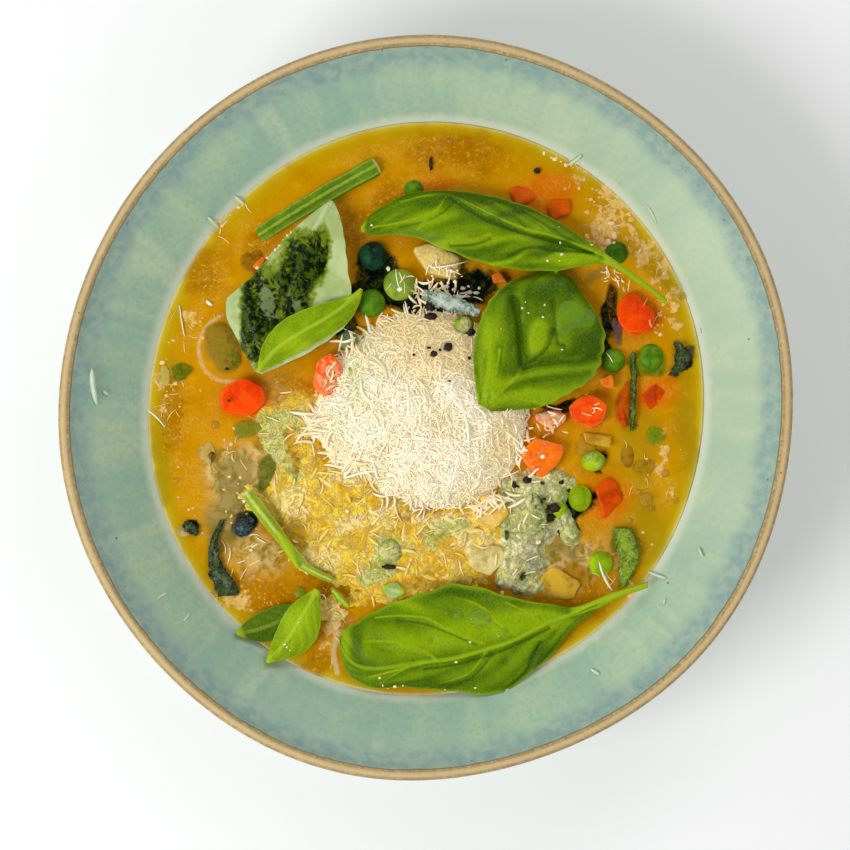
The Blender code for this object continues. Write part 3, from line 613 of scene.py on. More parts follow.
def brothMaterial():
    paint = Paint("orange gold broth", Roughness=0.16, IOR=1.34, Specular_IOR_Level=0.28)
    shore = paint.mark("shore")
    shore = shore + (paint.noise(7, 1.0) - 0.5) * 2.6 * shore.rise(0.3, 4.0)
    speck = paint.noise(1.1, 4.0, 4.0, 0.72)
    edge = (paint.noise(2.4, 7.0, 5.0, 0.68, 0.6) - 0.5) * 1.1
    tints = [((paint.mark(mark) + edge * 0.4).rise(0.2, 0.8) * strength, shade)
             for mark, strength, shade in broth["tints"]]
    grainy = paint.mark("brown").rise(0.1, 0.8) * 0.45 + shore.rise(1, 6) * 0.14
    threads = paint.ridges(2.2, 5.0, 2.4) * paint.noise(9, 6.0).rise(0.46, 0.6)
    cloud = (paint.mark("cloud") + edge * 1.3).rise(0.15, 1.0)
    milk = paint.noise(3.4, 8.0, 4.0, 0.66, 0.8)
    creamy = paint.mix(milk.rise(0.38, 0.60), (118, 106, 30), (218, 186, 118))
    creamy = paint.mix(paint.noise(8, 8.5).rise(0.5, 0.7) * 0.6, creamy, (200, 170, 134))
    haze = (paint.mark("haze") + edge * 0.6).rise(0.25, 0.85)
    curd = (paint.mark("curd") + (paint.noise(3.4, 9.0, 3.0, 0.6) - 0.5) * 3.4).rise(0.60, 0.95)
    pale = (paint.mark("pale") + (speck - 0.5) * 0.6).rise(0.3, 0.7)
    # near black for the dark patches: painted shadow mixed with dark greens
    darkPatch = paint.mix(paint.noise(1.6, 9.5, 4.0, 0.7).rise(0.44, 0.66), (8, 12, 10), (58, 68, 20))
    base = paint.coats(
        paint.ramp(shore / 18, broth["shades"]),
        (paint.noise(16, 2.0, 3.0, 0.6, 0.8).rise(0.46, 0.70) * 0.5, (182, 116, 0)),
        (paint.noise(11, 3.0, 3.0, 0.6, 0.8).rise(0.50, 0.72) * 0.5 * shore.rise(3, 8), (220, 166, 10)),
        *tints, (speck.rise(0.54, 0.66) * grainy, (236, 184, 44)),
        ((1 - speck.rise(0.34, 0.46)) * grainy, (140, 86, 0)),
        (threads * 0.38 * shore.rise(2, 5), (238, 184, 76)),
        (cloud * 0.8, creamy), (haze * 0.6, (114, 108, 46)),
        (curd * 0.75, paint.mix(speck.rise(0.4, 0.6), (230, 176, 84), (240, 206, 134))),
        (pale * 0.65, (222, 194, 140)), ((paint.mark("dark") + edge * 0.7).rise(0.40, 0.70), darkPatch))
    relief = paint.bump(cloud * milk * 0.5 + curd * 0.7 + pale * 0.4 + speck * 0.15, 0.3)
    return paint.done(base, Roughness=0.14 + cloud * 0.22 + curd * 0.2, Normal=relief)


def makeBroth():
    # a square of points drawn out to a disc: x = u sqrt(1 - v2/2), y = v sqrt(1 - u2/2), then
    # to the bowl's oval, with the edge lifted a little where it wets the wall
    n = broth["cells"]
    line = np.linspace(-1, 1, n + 1)
    v, u = np.meshgrid(line, line, indexing="ij")
    x, y = u * np.sqrt(1 - v * v / 2), v * np.sqrt(1 - u * u / 2)
    radius = (bowl["poolRadius"] + broth["overlap"]) * np.minimum(np.hypot(x, y), 1.0)
    top = onBowl(radius, np.arctan2(y, x), np.full_like(x, brothLevel))
    x, y = top[..., 0], top[..., 1]
    shore = shoreDistance(x, y)
    marks = patchMarks(x, y, broth, ("cloud", "brown", "orange", "curd", "dark", "haze", "olive"), 3.6, 11)
    bumps = 0.10 * waver(top, 5.0, 21) + 0.22 * marks["cloud"] * waver(top, 3.0, 22)
    bumps = (bumps + 0.3 * marks["curd"] * waver(top, 2.2, 23)) * np.clip(shore / 2, 0, 1)
    top[..., 2] += bumps + broth["meniscus"] * np.exp(-np.clip(shore, 0, 9) / 0.8)
    marks.update({"shore": shore, "pale": strokes(x, y, broth["threads"])[1]})
    # closed by a short wall and an underside
    count, k = (n + 1) ** 2, np.arange(n)
    rim = np.concatenate([k, (k + 1) * (n + 1) - 1, count - 1 - k, (n - k) * (n + 1)])
    points = top.reshape(-1, 3)
    below = (points[rim, :2] - bowl["axis"]) * broth["taper"] + bowl["axis"]
    below = np.append(below, [bowl["axis"]], axis=0)
    points = np.concatenate([points, flat(*below.T, brothLevel - broth["depth"])])
    ring = count + np.arange(len(rim))
    wall = np.stack([rim, ring, np.roll(ring, -1), np.roll(rim, -1)], -1)
    faces = [gridFaces(n + 1, n + 1), wall, fanFaces(ring, count + len(rim))[:, ::-1]]
    marks = {key: np.append(value, np.zeros(len(below))) for key, value in marks.items()}
    makePiece("broth_surface", points, faces, brothMaterial(), ["broth"], marks)


makeBroth()
print("broth poured")

# the cheese heap; lobes are count, share and angle of a crest, the dent its depth, angle and
# width, and the kinds of shred count, least and greatest length, least and greatest width,
# thickness as a share of the width, and segments
heap = {
    "centre": (-1.0, -1.5), "radius": 31.0, "height": 11.0, "fullness": 0.75,
    "lobes": [(2, 0.05, 0.0), (3, 0.05, -41.5)], "dent": (0.13, -135, 26), "coreShare": 0.95,
    "grid": (70, 200), "inset": 0.985, "sink": 0.2, "depth": 1.0,
    "shreds": [
        (5000, 1.2, 3.6, 0.3, 0.8, 0.3, 5), (2700, 2.6, 6.5, 0.4, 0.95, 0.2, 6),
        (300, 5.0, 10.0, 0.7, 1.5, 0.12, 8)],
    "melt": [(425, 342, 50, 34, 6), (470, 352, 34, 24, 0), (505, 440, 26, 30, 0), (410, 322, 30, 12, 0)],
    "green": [(358, 372, 16, 34, 0), (336, 424, 14, 16, 0), (372, 344, 14, 12, 0), (472, 330, 14, 10, 0)],
}


def heapReach(angle):
    # radius * (1 + lobes - depth exp(-turn2)), the dent's turn counted in its widths
    depth, middle, width = heap["dent"]
    turn = np.angle(np.exp(1j * (angle - math.radians(middle)))) / math.radians(width)
    return heap["radius"] * (1 + crests(angle, heap["lobes"]) - depth * np.exp(-turn ** 2))


def heapShare(x, y):
    # distance from the middle as a share of the heap's lobed reach
    x, y = x - heap["centre"][0], y - heap["centre"][1]
    return np.hypot(x, y) / heapReach(np.arctan2(y, x))


def heapHeight(x, y):
    # (1 - share2) to the power fullness, times the height
    return heap["height"] * np.maximum(1 - np.minimum(heapShare(x, y), 1) ** 2, 0) ** heap["fullness"]


def heapTop(x, y):
    # the core: the formula above times its share, with clumps of noise that fade at the foot
    rise = heap["coreShare"] * heapHeight(x, y)
    place = flat(x, y)
    clumps = 1.5 * waver(place, 6.5, 31) + 0.7 * waver(place, 2.2, 32)
    return brothLevel + rise + np.minimum(rise / 3, 1) * clumps


def resting(x, y):
    # the highest of broth, cheese and bowl wall, blended where they meet
    return upper(brothLevel + heapHeight(x, y), wallHeight(x, y), 0.4)


def cheeseMaterial(name, dry, deep, gloss, glow):
    # a little emission stands for the light that passes through cheese
    glows = {"Emission_Strength": glow, "Emission_Color": (250, 238, 206)}
    paint = Paint(name, IOR=1.4, Specular_IOR_Level=0.15, **glows)
    tone = paint.mark("tone") + (paint.noise(3.0, 1.0, 3.0) - 0.5) * 0.5
    melt = paint.mark("melt")
    holes = 1 - paint.cells(1.6, 2.0).rise(0.14, 0.30)
    base = paint.coats(
        paint.mix(tone.rise(0.05, 0.85), deep, dry),
        (paint.noise(9, 1.5, 2.0).rise(0.44, 0.62) * 0.35, deep),
        (paint.mark("green").rise(0.2, 0.9) * 0.6, (208, 216, 164)),
        (melt.rise(0.15, 0.9) * 0.75, (230, 204, 128)),
        (holes * melt.rise(0.3, 0.9) * 0.45, (190, 136, 54)))
    relief = paint.bump(paint.noise(0.5, 2.0, 3.0), 0.05)
    return paint.done(base, Roughness=gloss + paint.noise(0.8, 3.0) * 0.1, Normal=relief)


def makeShreds(name, x, y, heading, length, width, thick, curl, lift, tilt, floorAt, finish, marks,
               segments=7):
    # curved flat shreds: heading + curl s, so that x = x0 + (sin(h + curl s) - sin h) / curl,
    # a four-sided section that narrows as 1 - 0.75 s4, lying on floorAt(x, y)
    s = np.linspace(-0.5, 0.5, segments + 1)[None]
    heading, length, width, curl = heading[:, None], length[:, None], width[:, None], curl[:, None]
    bend = np.where(np.abs(curl) < 1e-3, 1e-3, curl) / length
    way = heading + bend * s * length
    px = x[:, None] + (np.sin(way) - np.sin(heading)) / bend
    py = y[:, None] - (np.cos(way) - np.cos(heading)) / bend
    pz = floorAt(px, py)
    pz = np.maximum(pz, pz[:, :1] * (0.5 - s) + pz[:, -1:] * (0.5 + s)) + lift[:, None] + tilt[:, None] * s
    narrow = 1 - 0.75 * (2 * s) ** 4
    turn = curl * 0.6 * s * 2 + (heading * 7 % 1.4 - 0.7)
    side = np.stack([-np.sin(way) * np.cos(turn), np.cos(way) * np.cos(turn), np.sin(turn)], -1)
    up = np.stack([np.sin(way) * np.sin(turn), -np.cos(way) * np.sin(turn), np.cos(turn)], -1)
    spine = np.stack([px, py, pz], -1)
    across = side * (width * narrow)[..., None] / 2
    over = up * (thick * width * narrow)[..., None] / 2
    points = np.stack([spine + across, spine + over, spine - across, spine - over], 2)
    count, rows = points.shape[:2]
    ends = [np.array([[3, 2, 1, 0]]), np.array([[0, 1, 2, 3]]) + 4 * (rows - 1)]
    faces = manyFaces([gridFaces(rows, 4, closed=True), *ends], 4 * rows, count)
    # one value of each mark for each shred
    marks = {key: np.repeat(np.broadcast_to(value, count), 4 * rows) for key, value in marks.items()}
    makePiece(name, points, faces, finish, marks=marks)


def makeHeap():
    # the core is a polar grid under the heap's formula with clumps of noise, closed below
    rows, columns = heap["grid"]
    share = np.sqrt(np.linspace(0.0, 1.0, rows + 1))[1:, None]
    angle = around(columns)[None]
    reach = heapReach(angle) * heap["inset"]
    x = heap["centre"][0] + share * reach * np.cos(angle)
    y = heap["centre"][1] + share * reach * np.sin(angle)
    grid = flat(x, y, heapTop(x, y) - heap["sink"])
    foot = brothLevel - heap["depth"]
    peak = heapTop(*np.array(heap["centre"])[:, None])[0] - heap["sink"]
    ends = [[*heap["centre"], peak], [*heap["centre"], foot]]
    points = np.concatenate([grid.reshape(-1, 3), flat(x[-1], y[-1], foot), ends])
    marks = {key: patches(points[:, 0], points[:, 1], heap[key], seed=33) for key in ("melt", "green")}
    # the core's tone sits below the shreds', so the gaps between them show painted shade
    marks["tone"] = np.clip(0.5 + 0.4 * waver(points, 2.2, 34), 0, 1)
    finish = cheeseMaterial("grated cheese", (247, 239, 216), (228, 213, 158), 0.55, 0.17)
    faces = roundFaces(rows + 1, columns)
    makePiece("grated_cheese_core", points, faces, finish, ["cheese_mound"], marks)
    # shreds lie on the core, thickest in the middle, and hang over its foot
    rng = np.random.default_rng(7)
    for part, (count, short, long, thin, broad, flatness, segments) in enumerate(heap["shreds"]):
        away = np.sqrt(rng.uniform(0, 1, count)) * 1.02
        turn = rng.uniform(0, 2 * math.pi, count)
        x = heap["centre"][0] + away * heap["radius"] * np.cos(turn)
        y = heap["centre"][1] + away * heap["radius"] * np.sin(turn)
        inside = heapShare(x, y) < 1.03
        x, y = x[inside], y[inside]
        melt = patches(x, y, heap["melt"], seed=33)
        keep = rng.uniform(0, 1, len(x)) > 0.45 * melt
        x, y, melt = x[keep], y[keep], melt[keep]
        n = len(x)
        edge = heapShare(x, y) > 0.86
        wide = rng.uniform(thin, broad, n)
        heading, length = rng.uniform(0, 2 * math.pi, n), rng.uniform(short, long, n) * (1 - 0.35 * edge)
        curl, lift, tilt = rng.normal(0, 1.0, n), rng.uniform(-0.15, 0.6, n), rng.uniform(-0.5, 0.5, n)
        tone = 0.66 + 0.5 * waver(flat(x, y), 6.5, 31) + rng.normal(0, 0.14, n) - 0.15 * edge
        marks = {"tone": np.clip(tone, 0, 1), "melt": melt * 0.9}
        marks["green"] = patches(x, y, heap["green"], seed=33)
        makeShreds(f"cheese_shreds_{part + 1}", x, y, heading, length, wide, flatness, curl, lift, tilt,
                   heapTop, finish, marks, segments=segments)


makeHeap()
print("cheese heaped")

# melted cheese; cover is what each mark adds to a sheet's height, lift a hump's x, y, half width,
# half depth and height; a layer is its mark, unevenness, strength and two shades
sheets = {
    "melted_cheese": {
        "slot": "melted_cheese", "box": (228, 372, 534, 626), "step": 0.42, "thick": 1.5, "depth": 1.4,
        "seed": 41, "softShreds": 1100,
        "cover": {"yellow": 1.0, "cream": 1.0, "green": 0.8, "gap": -0.9, "brown": 0.0},
        "lift": (0, 0, 1, 1, 0),
        "yellow": [
            (330, 512, 58, 44, 0), (300, 450, 16, 40, 0), (375, 500, 34, 26, 0), (442, 562, 60, 26, 0),
            (350, 552, 34, 26, 0), (488, 512, 30, 22, 0), (400, 590, 40, 16, 0)],
        "cream": [
            (322, 424, 28, 22, 0), (350, 470, 30, 14, 0), (296, 496, 22, 18, 0), (350, 524, 24, 12, 0),
            (384, 522, 14, 14, 0), (470, 536, 30, 16, 0), (426, 516, 40, 8, 0), (318, 560, 26, 14, 20),
            (330, 610, 22, 14, 0)],
        "green": [
            (270, 448, 22, 42, 0), (346, 430, 14, 16, 0), (436, 534, 24, 14, -20), (386, 546, 20, 22, 0),
            (290, 420, 22, 14, 0), (462, 526, 16, 8, 0), (372, 572, 20, 12, 0), (300, 470, 14, 14, 0)],
        "gap": [(294, 446, 7, 34, 0), (262, 476, 8, 18, 0), (310, 580, 26, 12, 0)],
        "brown": [
            (299, 524, 10, 12, 0), (294, 452, 6, 30, 0), (425, 584, 50, 10, 0), (268, 546, 10, 8, 0),
            (389, 566, 12, 4, 0), (404, 520, 12, 16, 20)],
        "mottle": 6.5, "ground": ((230, 174, 0), (252, 214, 62)),
        "layers": [
            ("cream", 1.7, 0.75, ((248, 216, 108), (253, 236, 176))),
            ("green", 1.3, 0.75, ((164, 182, 78), (212, 222, 148))),
            ("gap", 0.6, 0.7, ((170, 130, 4), (202, 156, 8))),
            ("brown", 1.6, 0.6, ((164, 116, 6), (208, 150, 14)))],
        "strands": (0.62, (252, 232, 158)), "creases": (0.16, 7.0, (196, 150, 16))},
    "cheese_over_greens": {
        "slot": "greens", "box": (480, 460, 586, 606), "step": 0.34, "thick": 2.6, "depth": 1.4, "seed": 51,
        "cover": {"pale": 1.0, "green": 1.0, "grey": 0.9, "teal": 0.8, "hole": -0.35},
        "lift": (32.4, -33.0, 6.5, 9.5, 1.7),
        "pale": [
            (536, 486, 30, 14, 0), (520, 512, 18, 26, 0), (552, 478, 18, 9, 0), (512, 556, 16, 22, 0),
            (506, 574, 12, 10, 0), (530, 586, 20, 8, 0), (566, 520, 6, 14, 20)],
        "green": [
            (512, 500, 10, 18, 0), (524, 524, 12, 16, 0), (545, 488, 10, 6, 0), (570, 528, 9, 12, -30),
            (556, 500, 10, 10, 0), (508, 526, 7, 14, 0)],
        "grey": [(545, 526, 11, 14, 20), (526, 562, 14, 16, 0), (534, 540, 10, 8, 0)],
        "teal": [(534, 556, 10, 9, 0), (524, 578, 6, 8, 0), (542, 566, 8, 6, 0)],
        "hole": [
            (527, 479, 5, 3.4, 0), (514, 484, 2.4, 4, 30), (538, 504, 6, 4.4, -30), (554, 507, 6, 4.6, 0),
            (562, 482, 2.6, 3, 0), (550, 518, 8, 3.6, 20), (504, 534, 3, 8, 20), (524, 574, 3.4, 7, 0),
            (544, 484, 4, 3, 0), (576, 512, 8, 3, -30), (497, 560, 6, 4, 0), (576, 530, 5, 7, 40)],
        "mottle": 2.1, "ground": ((204, 202, 84), (250, 240, 176)),
        "layers": [
            ("green", 1.9, 0.6, ((112, 138, 14), (186, 202, 66))),
            ("pale", 1.9, 0.6, ((226, 216, 124), (253, 245, 196))),
            ("grey", 1.4, 0.4, ((158, 150, 124), (218, 208, 188))),
            ("teal", 1.4, 0.5, ((40, 78, 60), (124, 150, 124))),
            ("hole", 0.6, 1.0, ((8, 12, 6), (34, 42, 10)))],
        "strands": (0.7, (246, 240, 208)), "creases": (0.5, 4.2, (82, 104, 10))},
}


def boxOf(form):
    # left, right, front and back of a sheet
    (x0, y1), (x1, y0) = spot(*form["box"][:2]), spot(*form["box"][2:])
    return x0, x1, y0, y1


def sheetMarks(form, x, y):
    return patchMarks(x, y, form, form["cover"], 3.4, form["seed"])


def sheetMaterial(name, form):
    # a mottled ground, then each layer where its mark, roughened by noise, is strong, then strands
    paint = Paint(name.replace("_", " "), IOR=1.4, Specular_IOR_Level=0.22)
    curl = paint.noise(form["mottle"], 1.0, 4.0, 0.62, 1.2)
    fine = paint.noise(3.0, 2.0, 4.0, 0.6, 0.8)
    strength, pale = form["strands"]
    # the creases are darkened with painted shade
    depth, size, creaseShade = form["creases"]
    creases = 1 - paint.cells(size, 5.0, feature="DISTANCE_TO_EDGE").rise(0.02, 0.22)
    strands = paint.ridges(3.6, 4.0, 2.0)
    layers = [((paint.mark(mark) + (curl - 0.5) * jitter).rise(0.36, 0.78) * share,
               paint.mix(fine.rise(0.38, 0.62), *shades)) for mark, jitter, share, shades in form["layers"]]
    specks = (1 - paint.cells(1.5, 3.0).rise(0.12, 0.24)) * paint.noise(6, 6.0).rise(0.50, 0.64)
    base = paint.coats(
        paint.mix(curl.rise(0.38, 0.60), *form["ground"]), (strands * strength, pale), *layers,
        (strands * 0.3 * fine.rise(0.4, 0.6), pale), (creases * fine.rise(0.36, 0.56) * depth, creaseShade),
        (specks * 0.3, (138, 100, 14)))
    relief = paint.bump(curl * 0.8 + fine * 0.5 + strands * 0.5 - creases * depth, 0.45)
    return paint.done(base, Roughness=0.26 + curl * 0.2, Normal=relief)


def sheetTop(form, x, y, marks=None):
    # broth level + thick * (cover - 0.42), uneven by noise; where the cover is low it dips under
    marks = marks or sheetMarks(form, x, y)
    x0, x1, y0, y1 = boxOf(form)
    place, seed = flat(x, y), form["seed"]
    cover = np.clip(sum(share * marks[key] for key, share in form["cover"].items()), -0.4, 1.3)
    cover = cover + 0.42 * waver(place, 5.0, seed + 6) + 0.20 * waver(place, 1.8, seed + 7) - 0.42
    near = np.clip((heapShare(x, y) - 0.8) / 0.3, 0, 1)
    z = brothLevel + form["thick"] * np.clip(cover, -0.5, 0.75)
    lumps = 0.8 * waver(place, 3.4, seed + 8) + 0.25 * waver(place, 1.2, seed + 9)
    z = z + np.clip(cover, 0, 1) * near * lumps
    cx, cy, across, down, rise = form["lift"]
    z = z + rise * np.exp(-((x - cx) / across) ** 2 - ((y - cy) / down) ** 2)
    edge = np.minimum.reduce([x - x0, x1 - x, y - y0, y1 - y])
    return z - np.clip(1 - edge / 2.0, 0, 8) * 1.6


def makeSheet(name, form):
    # the height field above on a grid, closed below by a flat underside under the broth
    x0, x1, y0, y1 = boxOf(form)
    x, y = np.meshgrid(np.arange(x0, x1, form["step"]), np.arange(y0, y1, form["step"]))
    marks = sheetMarks(form, x, y)
    z = sheetTop(form, x, y, marks)
    bottom = flat(x, y, np.minimum(brothLevel - form["depth"], z - 0.1))
    makeSheetPiece(name, flat(x, y, z), bottom, sheetMaterial(name, form), marks=marks)


def makeSoftShreds():
    # broad flat shreds half sunk in the melted cheese, most where it is creamy
    form = sheets["melted_cheese"]
    x0, x1, y0, y1 = boxOf(form)
    rng = np.random.default_rng(23)
    count = form["softShreds"]
    x, y = rng.uniform(x0 + 4, x1 - 4, count), rng.uniform(y0 + 4, y1 - 4, count)
    cover = sheetMarks(form, x, y)
    likely = 0.2 * cover["yellow"] + 0.7 * cover["cream"] + 0.15 * cover["green"] - cover["gap"]
    keep = (rng.uniform(0, 1, count) < likely) & (heapShare(x, y) > 0.92)
    x, y, cream, green = x[keep], y[keep], cover["cream"][keep], cover["green"][keep]
    n = len(x)
    wide = rng.uniform(0.8, 2.0, n)
    heading, length, curl = rng.uniform(0, 2 * math.pi, n), rng.uniform(2.5, 7.0, n), rng.normal(0, 0.9, n)
    lift, tilt = rng.uniform(-0.3, -0.08, n), rng.uniform(-0.08, 0.08, n)
    tone = np.clip(0.2 + 0.55 * cream + rng.normal(0, 0.18, n), 0, 1)
    finish = cheeseMaterial("softened cheese", (250, 226, 136), (246, 206, 76), 0.4, 0.03)
    makeShreds("softened_cheese_shreds", x, y, heading, length, wide, 0.16, curl, lift, tilt,
               lambda px, py: np.maximum(sheetTop(form, px, py), brothLevel + 0.05),
               finish, {"tone": tone, "melt": 0.0, "green": green})


for sheetName, sheetForm in sheets.items():
    makeSheet(sheetName, sheetForm)
makeSoftShreds()
print("cheese melted")

# leaves
# from the foot of the stalk to the tip: x, y, height above the broth, half width left and right
leafShapes = {
    "basil_leaf_top": [
        (73.1, 32.2, 4.6, 1.1, 1.1), (64.9, 38.2, 6.4, 1.1, 1.1), (54.0, 45.2, 7.2, 1.8, 1.8),
        (40.1, 50.4, 7.8, 8.9, 6.1), (28.6, 53.1, 8.4, 11.5, 8.9), (17.7, 57.4, 8.6, 13.9, 7.4),
        (7.4, 61.9, 8.0, 14.7, 3.9), (-4.8, 61.9, 6.4, 9.8, 3.3), (-15.4, 56.6, 5.0, 4.2, 3.2),
        (-19.6, 54.4, 4.4, 0.9, 0.9)],
    "basil_leaf_right": [
        (17.7, 0.1, 7.6, 2.2, 2.6), (21.5, 7.1, 9.2, 8.0, 14.5), (25.2, 14.1, 10.2, 12.0, 20.4),
        (29.0, 21.0, 10.4, 13.8, 24.4), (32.7, 28.0, 9.6, 13.4, 24.0), (36.5, 35.0, 7.4, 9.4, 19.6),
        (40.3, 41.6, 4.4, 1.2, 5.0)],
    "basil_leaf_bottom": [
        (67.3, -53.7, 4.4, 1.0, 1.0), (56.6, -57.4, 4.4, 1.3, 1.3), (45.4, -62.2, 4.4, 4.4, 1.8),
        (37.5, -65.0, 4.4, 10.9, 5.5), (26.5, -70.4, 4.2, 14.6, 12.8), (18.3, -73.2, 4.0, 14.0, 18.2),
        (8.6, -75.9, 3.8, 10.3, 22.5), (-0.2, -77.1, 3.6, 8.5, 21.0), (-7.8, -78.3, 3.4, 6.7, 19.8),
        (-15.4, -79.3, 3.2, 6.1, 17.6), (-20.9, -78.3, 3.0, 4.9, 13.2), (-24.2, -75.3, 2.8, 4.9, 8.2),
        (-26.2, -71.3, 2.6, 1.8, 1.8)],
    "basil_leaf_folded": [
        (-50.8, 10.7, 4.8, 1.2, 1.2), (-44.8, 23.4, 4.6, 17.6, 13.0), (-40.5, 35.5, 5.0, 12.8, 19.2),
        (-36.3, 49.2, 5.4, 6.7, 13.6), (-31.4, 58.3, 5.0, 2.8, 6.5), (-28.4, 62.8, 4.2, 0.7, 0.7)],
    "leaf_fold": [
        (-50.6, 11.0, 6.4, 0.6, 0.6), (-45.6, 17.4, 7.2, 4.0, 4.4), (-37.6, 22.8, 7.8, 6.4, 5.4),
        (-28.6, 28.0, 7.6, 5.2, 5.2), (-22.6, 32.6, 6.8, 1.6, 2.8), (-19.4, 36.0, 6.0, 0.5, 0.5)],
    "sprig_leaf_bright": [
        (-32.8, -55.2, 4.6, 1.0, 1.0), (-37.4, -62.9, 5.2, 6.4, 4.6), (-41.9, -70.2, 4.8, 6.6, 4.2),
        (-48.0, -77.3, 4.6, 0.7, 0.7)],
    "sprig_leaf_dark": [
        (-38.6, -60.5, 1.8, 1.0, 1.0), (-43.4, -64.4, 1.8, 4.4, 4.6), (-51.0, -67.4, 2.2, 4.4, 4.2),
        (-57.4, -68.6, 3.2, 0.7, 0.7)],
    "sprig_leaflet": [
        (-44.9, -37.2, 6.0, 0.6, 0.6), (-41.8, -42.2, 6.0, 1.7, 1.5), (-38.6, -48.4, 5.6, 0.6, 0.6)],
    "leaf_scrap": [
        (-13.2, -54.6, 0.9, 0.8, 0.8), (-9.8, -55.6, 1.2, 2.4, 2.6), (-6.4, -56.4, 0.9, 0.8, 0.8)],
}
# edge lift left and right, way of the left half, side veins, their lean and strength, pucker,
# edge wave, rows and columns, strength of the midrib
leafForms = {
    "basil_leaf_top": (-0.6, -4.0, -90, 7, 0.2, 0.3, 0.5, 0.5, 200, 110, 0.15),
    "basil_leaf_right": (-3.0, -3.6, 151, 5, 0.34, 0.0, 0.35, 0.4, 170, 140, 0.15),
    "basil_leaf_bottom": (-1.4, 0.8, -90, 7, 0.16, 0.25, 0.5, 0.5, 210, 120, 1.0),
    "basil_leaf_folded": (-1.6, 0.8, 157, 7, 0.2, 0.6, 0.35, 0.3, 110, 90, 1.0),
    "leaf_fold": (1.0, -2.6, 145, 6, 0.16, 0.6, 0.25, 0.2, 90, 50, 1.0),
    "sprig_leaf_bright": (-1.2, -1.0, -33, 6, 0.2, 1.0, 0.45, 0.2, 80, 50, 1.0),
    "sprig_leaf_dark": (0.0, 0.0, -65, 6, 0.2, 1.0, 0.35, 0.2, 70, 44, 1.0),
    "sprig_leaflet": (-0.4, -0.4, 29, 3, 0.2, 1.0, 0.1, 0.0, 40, 24, 1.0),
    "leaf_scrap": (0.2, 0.4, 75, 3, 0.2, 1.0, 0.15, 0.1, 36, 24, 1.0),
}
